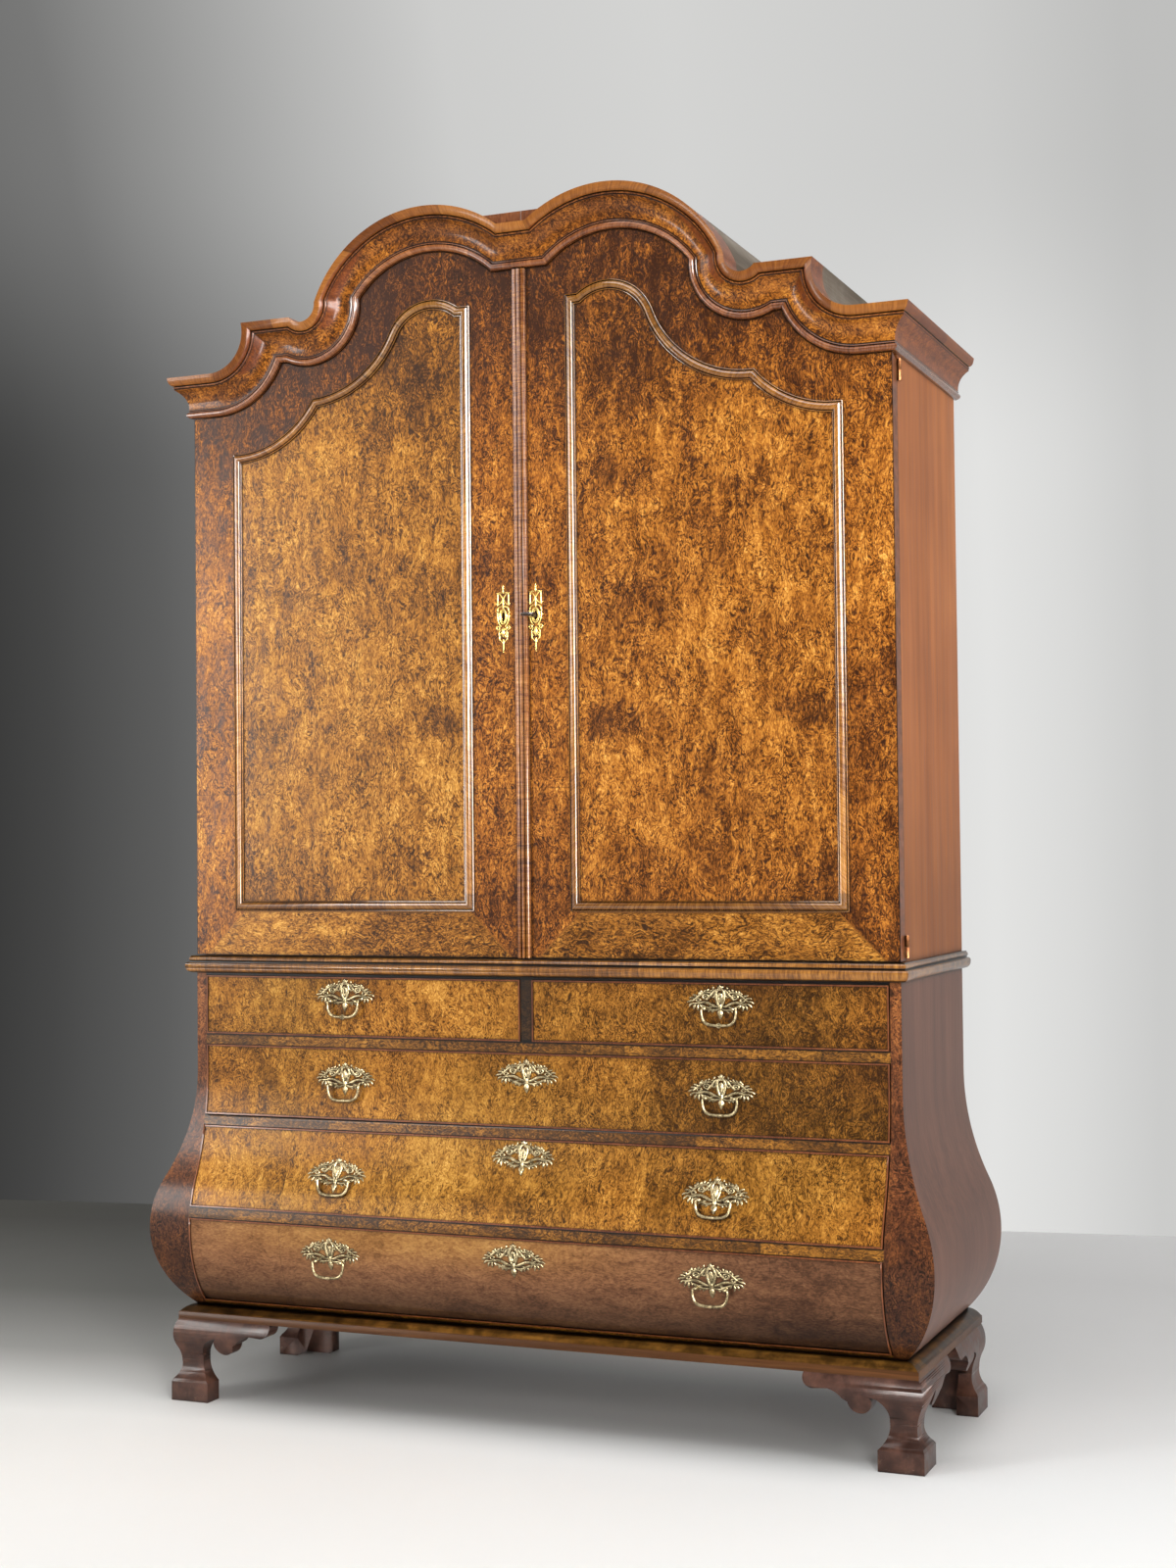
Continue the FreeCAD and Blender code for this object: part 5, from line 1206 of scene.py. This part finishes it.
def handle(name, centre_x, handle_z, row):
    """The two posts of a handle, and its bail as a piece of its own."""
    foot, out = pivot(handle_z)
    posts = ribs(f"{name}_posts", [post_strokes(-1), post_strokes(1)], 3, 3)
    tilt = Matrix.Rotation(math.atan2(out.z, -out.y), 4, "X").inverted()
    for vertex in posts.data.vertices:
        vertex.co = foot + tilt @ vertex.co + Vector((centre_x, 0, 0))
    head = foot + out * POST_STAND
    right = [(30, 0, 0, 1.5), (34.0, 0, 0, 1.5), (36.0, 0, -1.2, 1.9), (36.8, 0, -5, 2.6),
             (36.4, 0, -12, 2.5), (34.8, 0, -20, 2.6), (30.0, 0, -28, 3.0), (22.0, 0, -32.2, 3.4),
             (11.0, 0, -33.4, 3.0)]
    left = [(-x, y, z, r) for x, y, z, r in reversed(right)]
    strokes = [(right + [(0, 0, -33.6, 3.2 if row > 1 else 2.6)] + left, False)]
    if row == 1:
        strokes.append(ring_stroke(0, -33.6, 4.4, 4.4, 1.5))
    else:
        strokes.append(([(-4.5, 0, -33.6, 2.2), (-2.4, 0, -33.6, 3.9), (2.4, 0, -33.6, 3.9),
                         (4.5, 0, -33.6, 2.2)], False))
    bail = ribs(f"{name}_bail", strokes, 3, 5)
    lean = Matrix.Rotation(math.radians(THIRD_ROW_LEAN if row == 3 else 0), 4, "X")
    for vertex in bail.data.vertices:
        vertex.co = head + lean @ vertex.co + Vector((centre_x, 0, 0))
    return posts, bail


HANDLE_X = 0.428
# name, row, height of its handles, height of its keyhole plate and the sides with a handle
DRAWERS = (("drawer_top_left", 1, 0.893, None, (-1,)), ("drawer_top_right", 1, 0.893, None, (1,)),
           ("drawer_second", 2, 0.713, 0.732, (-1, 1)), ("drawer_third", 3, 0.513, 0.566, (-1, 1)),
           ("drawer_bottom", 4, 0.350, 0.363, (-1, 1)))


def slot_shade(name, centre_x, centre_z):
    """The dark slot of a drawer's keyhole."""
    shade = ribs(name, [flat_stroke([(0, 14, 1.6), (0, 11, 2.6), (0, 7, 2.4), (0, 0, 2.2),
                                     (0, -1, 1.6)])])
    on_front(shade, centre_x, centre_z, 0.12)
    lay(shadow, shade)
    return shade


def drawer_brasses():
    """Plates, posts and bails of all the drawers."""
    masters = {}
    for locked in (True, False):
        masters[locked] = ribs("plate_master", drawer_plate_strokes(locked), 2, 3,
                               PLATE_WEIGHT)
    for drawer, row, handle_z, middle_z, hands in DRAWERS:
        parts, slots = [], []
        spots = [(side * HANDLE_X, handle_z, row == 1) for side in hands]
        if middle_z:
            spots.append((0.0, middle_z, True))
        for x, z, locked in spots:
            plate = masters[locked].copy()
            plate.data = masters[locked].data.copy()
            scene.collection.objects.link(plate)
            on_front(plate, x, z, spread=PLATE_SPREAD)
            parts.append(plate)
            if locked:
                slots.append(slot_shade(f"{drawer}_keyhole", x, z))
        for side in hands:
            word = "right" if side > 0 else "left"
            row_word = drawer.split("_")[1]
            posts, bail = handle(f"{row_word}_{word}", side * HANDLE_X, handle_z, row)
            parts.append(posts)
            node = f"bail_{row_word}_{word}"
            lay(aged, bail)
            stands_for(bail, node)
        plates = joined(f"{drawer}_plates", parts)
        lay(aged, plates)
        stands_for(plates, f"{drawer}_brasses")
        for i, piece in enumerate(slots):
            piece.name = f"{drawer}_keyhole_{i}"
            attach(piece, drawer)
    for master in masters.values():
        bpy.data.objects.remove(master)


def escutcheon_strokes():
    """A door escutcheon: finial, frame, horned scroll, keyhole ring, shell and drop."""
    right = [
        flat_stroke([(3.5, 51, 0.8), (8, 52.5, 1.3), (12, 50, 1.6), (12.4, 42, 1.3),
                     (12.2, 32, 1.4), (13, 25, 1.6)], 0.6),
        flat_stroke([(0, 38, 1.4), (4.4, 45, 1.5), (8.6, 50, 1.0)], 0.5),
        flat_stroke([(0, 38, 1.4), (4, 31, 1.4), (9, 27, 1.3), (13, 26, 1.2)], 0.5),
        leaf(12, 26, 18, 6, 1.3, 30), leaf(12, 50, 30, 4, 1.1),
        flat_stroke([(2, 23, 1.0), (8, 22.5, 1.7), (12.5, 18, 1.7), (12.8, 12, 1.4)], 0.8),
        flat_stroke([(12.6, 10, 0.8), (13.2, 3, 1.5), (12.2, -6, 1.6), (9.4, -14, 1.5),
                     (5, -20, 1.2)], 0.8),
        leaf(13, 2, 0, 3.6, 1.1), leaf(13, 10, 12, 3.2, 1.0), leaf(12.6, -5, -12, 3.2, 1.0),
        ring_stroke(11.6, -22.5, 3.6, 4.0, 1.4, 0.6),
        flat_stroke([(3, -24, 0.8), (7, -27, 1.4), (10, -32, 1.5), (9.4, -38, 1.3),
                     (5, -42, 0.9)], 0.6),
        flat_stroke([(9, -38, 1.0), (9.6, -43, 1.5), (8.6, -48, 0.9)], 0.5),
        flat_stroke([(9, -44, 0.9), (5, -50, 1.3), (1.5, -54, 1.0)], 0.5),
    ]
    middle = [
        flat_stroke([(0, 50, 1.5), (0, 53, 2.8), (0, 56.5, 1.7), (0, 59.5, 3.0), (0, 63, 1.6),
                     (0, 65.5, 1.7), (0, 68, 0.3)], 0.4),
        ring_stroke(0, 1, 8.2, 15.5, 1.7, 0.9, 12), ring_stroke(0, 1, 5.4, 11.5, 1.0, 0.3, 12),
        flat_stroke([(0, 40, 1.6), (0, 36, 2.3), (0, 30, 1.8), (0, 24, 2.2), (0, 18, 1.4)], 0.7),
        flat_stroke([(0, -22, 1.8), (0, -28, 4.0), (0, -34, 4.6), (0, -39, 3.2),
                     (0, -42, 1.4)], 0.2),
        flat_stroke([(0, -46, 1.0), (0, -50, 1.9), (0, -54, 2.9), (0, -58, 2.1), (0, -66, 1.7),
                     (0, -75, 0.5)], 0.5),
    ]
    for angle in (-60, -75, -90, -105, -120):
        middle.append(leaf(0, -25, angle, 16, 1.2))
    return both(right) + middle


def on_door(piece, centre_x, flatten):
    """Lays a flat casting on a door at the height of the lock."""
    for vertex in piece.data.vertices:
        across, proud, up = vertex.co
        vertex.co = (centre_x + across, FRONT + flatten * proud, LOCK_Z + up)
    piece.data.update()


def door_brasses():
    """An escutcheon on each door; the hinges and the keeper keep their solids."""
    for hand, x in (("right", KEY_X), ("left", -0.0435)):
        plate = ribs(f"{hand}_door_escutcheon", escutcheon_strokes(), 2, 4)
        on_door(plate, x, 0.85)
        lay(gilt, plate)
        stands_for(plate, f"{hand}_door_brasses")
        hole = ribs(f"{hand}_door_keyhole", [flat_stroke(
            [(0, 10, 1.2), (0, 5, 3.4), (0, -1, 2.6), (0, -9, 2.2), (0, -12, 1.4)])])
        on_door(hole, x, 0.10)
        lay(shadow, hole)
        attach(hole, f"{hand}_door")
        hinges = copy_of(f"{hand}_door_brasses", f"{hand}_door_hinges")
        bpy.ops.object.mode_set(mode="EDIT")
        bpy.ops.mesh.select_all(action="DESELECT")
        bpy.ops.object.mode_set(mode="OBJECT")
        for vertex in hinges.data.vertices:
            vertex.select = vertex.co.y < FRONT + 0.0005
        bpy.ops.object.mode_set(mode="EDIT")
        bpy.ops.mesh.delete(type="VERT")
        bpy.ops.object.mode_set(mode="OBJECT")
        soften(hinges)
        lay(dull, hinges)
        stands_for(hinges, f"{hand}_door_brasses")


def key_piece():
    """The key in the right-hand lock: a turned shank, a collar and an oval bow seen edge on."""
    shank = [(0, -50, 0, 2.2), (0, -46, 0, 2.9), (0, 16, 0, 2.9), (0, 18, 0, 3.0),
             (0, 19.5, 0, 4.6), (0, 21, 0, 4.6), (0, 22.5, 0, 3.0), (0, 24, 0, 3.6),
             (0, 26, 0, 3.4), (0, 27.4, 0, 2.2)]
    bow = [(14.4 * math.cos(turn), 40.0 + 13.0 * math.sin(turn), 0, 2.5) for turn in turns(12)]
    scrolls = []
    for side in (-1, 1):
        scrolls.append(([(side * 1.2, 27, 0, 1.6), (side * 3, 32, 0, 1.9),
                         (side * 6.2, 34.5, 0, 1.7), (side * 7, 38, 0, 1.2)], False))
    strokes = []
    for points, ring in [(shank, False), (bow, True)] + scrolls:
        strokes.append(([(x, -y, z, r) for x, y, z, r in points], ring))
    key = ribs("door_key_turned", strokes, 3, 4)
    bpy.ops.object.select_all(action="DESELECT")
    bpy.ops.mesh.primitive_cube_add(size=1.0, location=(0, 0, 0))
    bit = bpy.context.object
    low, high = Vector((-0.0015, 0.0395, -0.0120)), Vector((0.0015, 0.0455, -0.0020))
    for vertex in bit.data.vertices:
        vertex.co = [low[i] if vertex.co[i] < 0 else high[i] for i in range(3)]
    edited(bpy.ops.mesh.bevel, offset=0.0006, segments=2)
    key = joined("door_key_turned", [key, bit])
    for vertex in key.data.vertices:
        vertex.co = (KEY_X + vertex.co.x, FRONT + vertex.co.y, LOCK_Z + vertex.co.z)
    soften(key, 45)
    lay(iron, key)
    stands_for(key, "door_key")


lay(crown_finish(), crown_piece("crown_cove", COVE_SECTION, ("cornice_front", "cornice_returns")))
lay(banded_finish("bead_veneer", "run", RED_BAND, 0.30, 0.24,
                  ((0.0, 0.0036), (0.0226, 0.0024), (0.0275, 0.0020))),
    crown_piece("crown_bead", BEAD_SECTION, ("cornice_bead",)))
lay(banded_finish("door_banding", "run", GOLD_BAND, 0.30, 0.24,
                  ((0.0, 0.0034), (0.0069, 0.0026), (0.0289, 0.0024), (0.0360, 0.0040))),
    panel_moulding("right", RIGHT_PANEL), panel_moulding("left", LEFT_PANEL))
lay(door_finish(), door_board("right", RIGHT_PANEL), door_board("left", LEFT_PANEL))
lay(lower_side_finish(), lower_side("left"), lower_side("right"))
rounded("waist_moulding", "plinth_frame", "astragal", "drawer_rails", "case_hinges",
        *(name for name in nodes if name.endswith("_cockbead")),
        *(drawer[0] + "_front" for drawer in DRAWERS))
rounded(*(name for name in nodes if name.startswith("foot_")), degrees=28, carved=True)
drawer_brasses()
door_brasses()
key_piece()


# ------------------------------------------------------------------ floor and surroundings
def floor_finish():
    """Pale, with painted shade darker at the back on the left and a painted shadow under the
    cupboard.
    """
    f = Finish("studio_floor", 0.55, gloss=0.25)
    depth = f.fused(f.x, -0.149, f.y)
    left = f.span(f.x, 0.4, -1.4)
    right_tone = f.ramp(f.span(depth, -1.2, 2.8, smooth=False), (
        (0.0, (0.84, 0.86, 0.86)), (0.25, (0.82, 0.835, 0.84)), (0.45, (0.76, 0.77, 0.775)),
        (0.70, (0.74, 0.745, 0.75)), (0.98, (0.86, 0.865, 0.87))))
    # painted shade: on the left the floor darkens towards the back
    left_tone = f.ramp(f.span(depth, -0.9, 2.2, smooth=False), (
        (0.0, (0.90, 0.90, 0.885)), (0.20, (0.86, 0.86, 0.84)), (0.38, (0.36, 0.36, 0.345)),
        (0.60, (0.14, 0.14, 0.13)), (0.95, (0.048, 0.047, 0.040))))
    colour = f.mix(left, right_tone, left_tone)
    # painted shadow under the cupboard
    painted_shadow_beneath = f.times(f.fade(f.unsigned(f.x), 0.60, 0.95),
                      f.times(f.span(f.y, -0.42, -0.05), f.fade(f.y, 0.25, 0.60)))
    colour = f.dim(colour, painted_shadow_beneath, 0.62)
    soft = f.noise(f.place, 0.8, 4.0)
    f.colour(f.shade(colour, f.fused(soft, 0.10, 0.94)))
    f.relief(f.noise(f.place, 3.0, 2.0), 0.002)
    return f


def studio_floor():
    """A pale floor that ends where the wall begins."""
    bpy.ops.object.select_all(action="DESELECT")
    bpy.ops.mesh.primitive_plane_add(size=1.0, location=(0, 0, -0.0005))
    floor = bpy.context.object
    floor.name = "studio_floor"
    wall_left, wall_right = (-12.0, 0.561), (12.0, 4.170)
    corners = [(-12, -12), (12, -12), wall_left, wall_right]
    for vertex, (x, y) in zip(floor.data.vertices, corners):
        vertex.co = (x, y, 0.0)
    floor.data.update()
    lay(floor_finish(), floor)


# (place from left to right, grey) of the wall, high up and near the floor
HIGH_WALL = ((0.05, 0.150), (0.13, 0.190), (0.21, 0.305), (0.31, 0.460), (0.42, 0.610),
             (0.60, 0.655), (0.85, 0.600), (0.97, 0.520))
LOW_WALL = ((0.03, 0.045), (0.07, 0.062), (0.15, 0.110), (0.25, 0.200), (0.50, 0.520),
            (0.83, 0.770), (0.90, 0.700), (0.97, 0.600))


def surroundings():
    """Soft room light, and a wall that goes from shade at the left to light at the right."""
    world = bpy.data.worlds.new("studio")
    scene.world = world
    world.use_nodes = True
    w = Wiring(world.node_tree)
    room = w.tree.nodes["Background"]
    room.inputs["Color"].default_value = (1.0, 0.985, 0.965, 1)
    room.inputs["Strength"].default_value = ROOM_LIGHT
    x, y, z = w.split(w.node("ShaderNodeTexCoord").outputs["Generated"])
    high, low = ([(at, (grey, grey, 0.985 * grey)) for at, grey in stops]
                 for stops in (HIGH_WALL, LOW_WALL))
    across = w.fused(x, 2.0, 1.25)
    tones = w.mix(w.span(z, 0.16, 0.30), w.ramp(across, low), w.ramp(across, high))
    rays = w.node("ShaderNodeLightPath").outputs
    dimmed = w.times(rays["Is Glossy Ray"], w.rest(w.span(y, -0.15, 0.30, DARK_FRONT, 1.0)))
    # tall windows at both sides of the room, high enough to shine in the upper mouldings only
    window = w.most(w.times(w.span(x, -0.50, -0.54), w.span(y, 0.26, 0.20)),
                    w.times(w.span(x, 0.40, 0.44), w.span(y, -0.10, -0.16)))
    window = w.times(window, w.times(w.span(z, 0.062, 0.078), w.span(z, 0.46, 0.42)))
    wall = w.node("ShaderNodeBackground")
    w.feed(wall.inputs["Color"], tones)
    w.feed(wall.inputs["Strength"], w.fused(window, WINDOW_LIGHT, w.rest(dimmed)))
    seen = w.most(rays["Is Camera Ray"],
                  w.most(rays["Is Transmission Ray"], rays["Is Glossy Ray"]))
    both = w.made("ShaderNodeMixShader", (seen, room.outputs[0], wall.outputs[0]))
    w.feed(w.tree.nodes["World Output"].inputs["Surface"], both)


def lamp(name, place, aim, wide, tall, power, colour=(1, 1, 1)):
    """A soft rectangular lamp."""
    data = bpy.data.lights.new(name, "AREA")
    data.shape, data.size, data.size_y = "RECTANGLE", wide, tall
    data.energy, data.color = power, colour
    made = bpy.data.objects.new(name, data)
    scene.collection.objects.link(made)
    made.location = place
    made.rotation_euler = (Vector(aim) - Vector(place)).to_track_quat("-Z", "Y").to_euler()


CAMERA_PLACE = (1.8864, -4.4013, 1.2078)
CAMERA_TURNS = (22.566, 1.618, -0.5885)   # to the left, upwards and on its own axis, in degrees
LENS, SENSOR = 50.51, 36                  # in millimetres


def camera():
    """Stands a little right of the cupboard, at breast height."""
    yaw, tilt, roll = (math.radians(turn) for turn in CAMERA_TURNS)
    ahead = Vector((-math.sin(yaw) * math.cos(tilt), math.cos(yaw) * math.cos(tilt),
                    math.sin(tilt)))
    level = Vector((math.cos(yaw), math.sin(yaw), 0))
    above = level.cross(ahead)
    right = math.cos(roll) * level + math.sin(roll) * above
    up = -math.sin(roll) * level + math.cos(roll) * above
    data = bpy.data.cameras.new("camera")
    data.lens, data.sensor_width = LENS, SENSOR
    made = bpy.data.objects.new("camera", data)
    scene.collection.objects.link(made)
    rows = [(right[i], up[i], -ahead[i], CAMERA_PLACE[i]) for i in range(3)]
    made.matrix_world = Matrix(rows + [(0, 0, 0, 1)])
    scene.camera = made


studio_floor()
surroundings()
lamp("window_left", (-3.85, -4.4, 1.85), (-0.2, 0, 1.4), 1.1, 2.1, 122, (1.0, 0.99, 0.97))
lamp("window_right", (3.3, -4.7, 2.1), (0.3, 0, 1.4), 1.0, 2.4, 212, (1.0, 0.985, 0.96))
lamp("right_fill", (4.6, -1.4, 2.6), (0.6, 0, 1.3), 2.4, 2.4, 54, (1.0, 0.98, 0.96))
lamp("overhead", (0.2, -1.4, 5.2), (0, 0, 1.0), 2.6, 2.6, 100)
camera()
scene.view_settings.view_transform = "Standard"
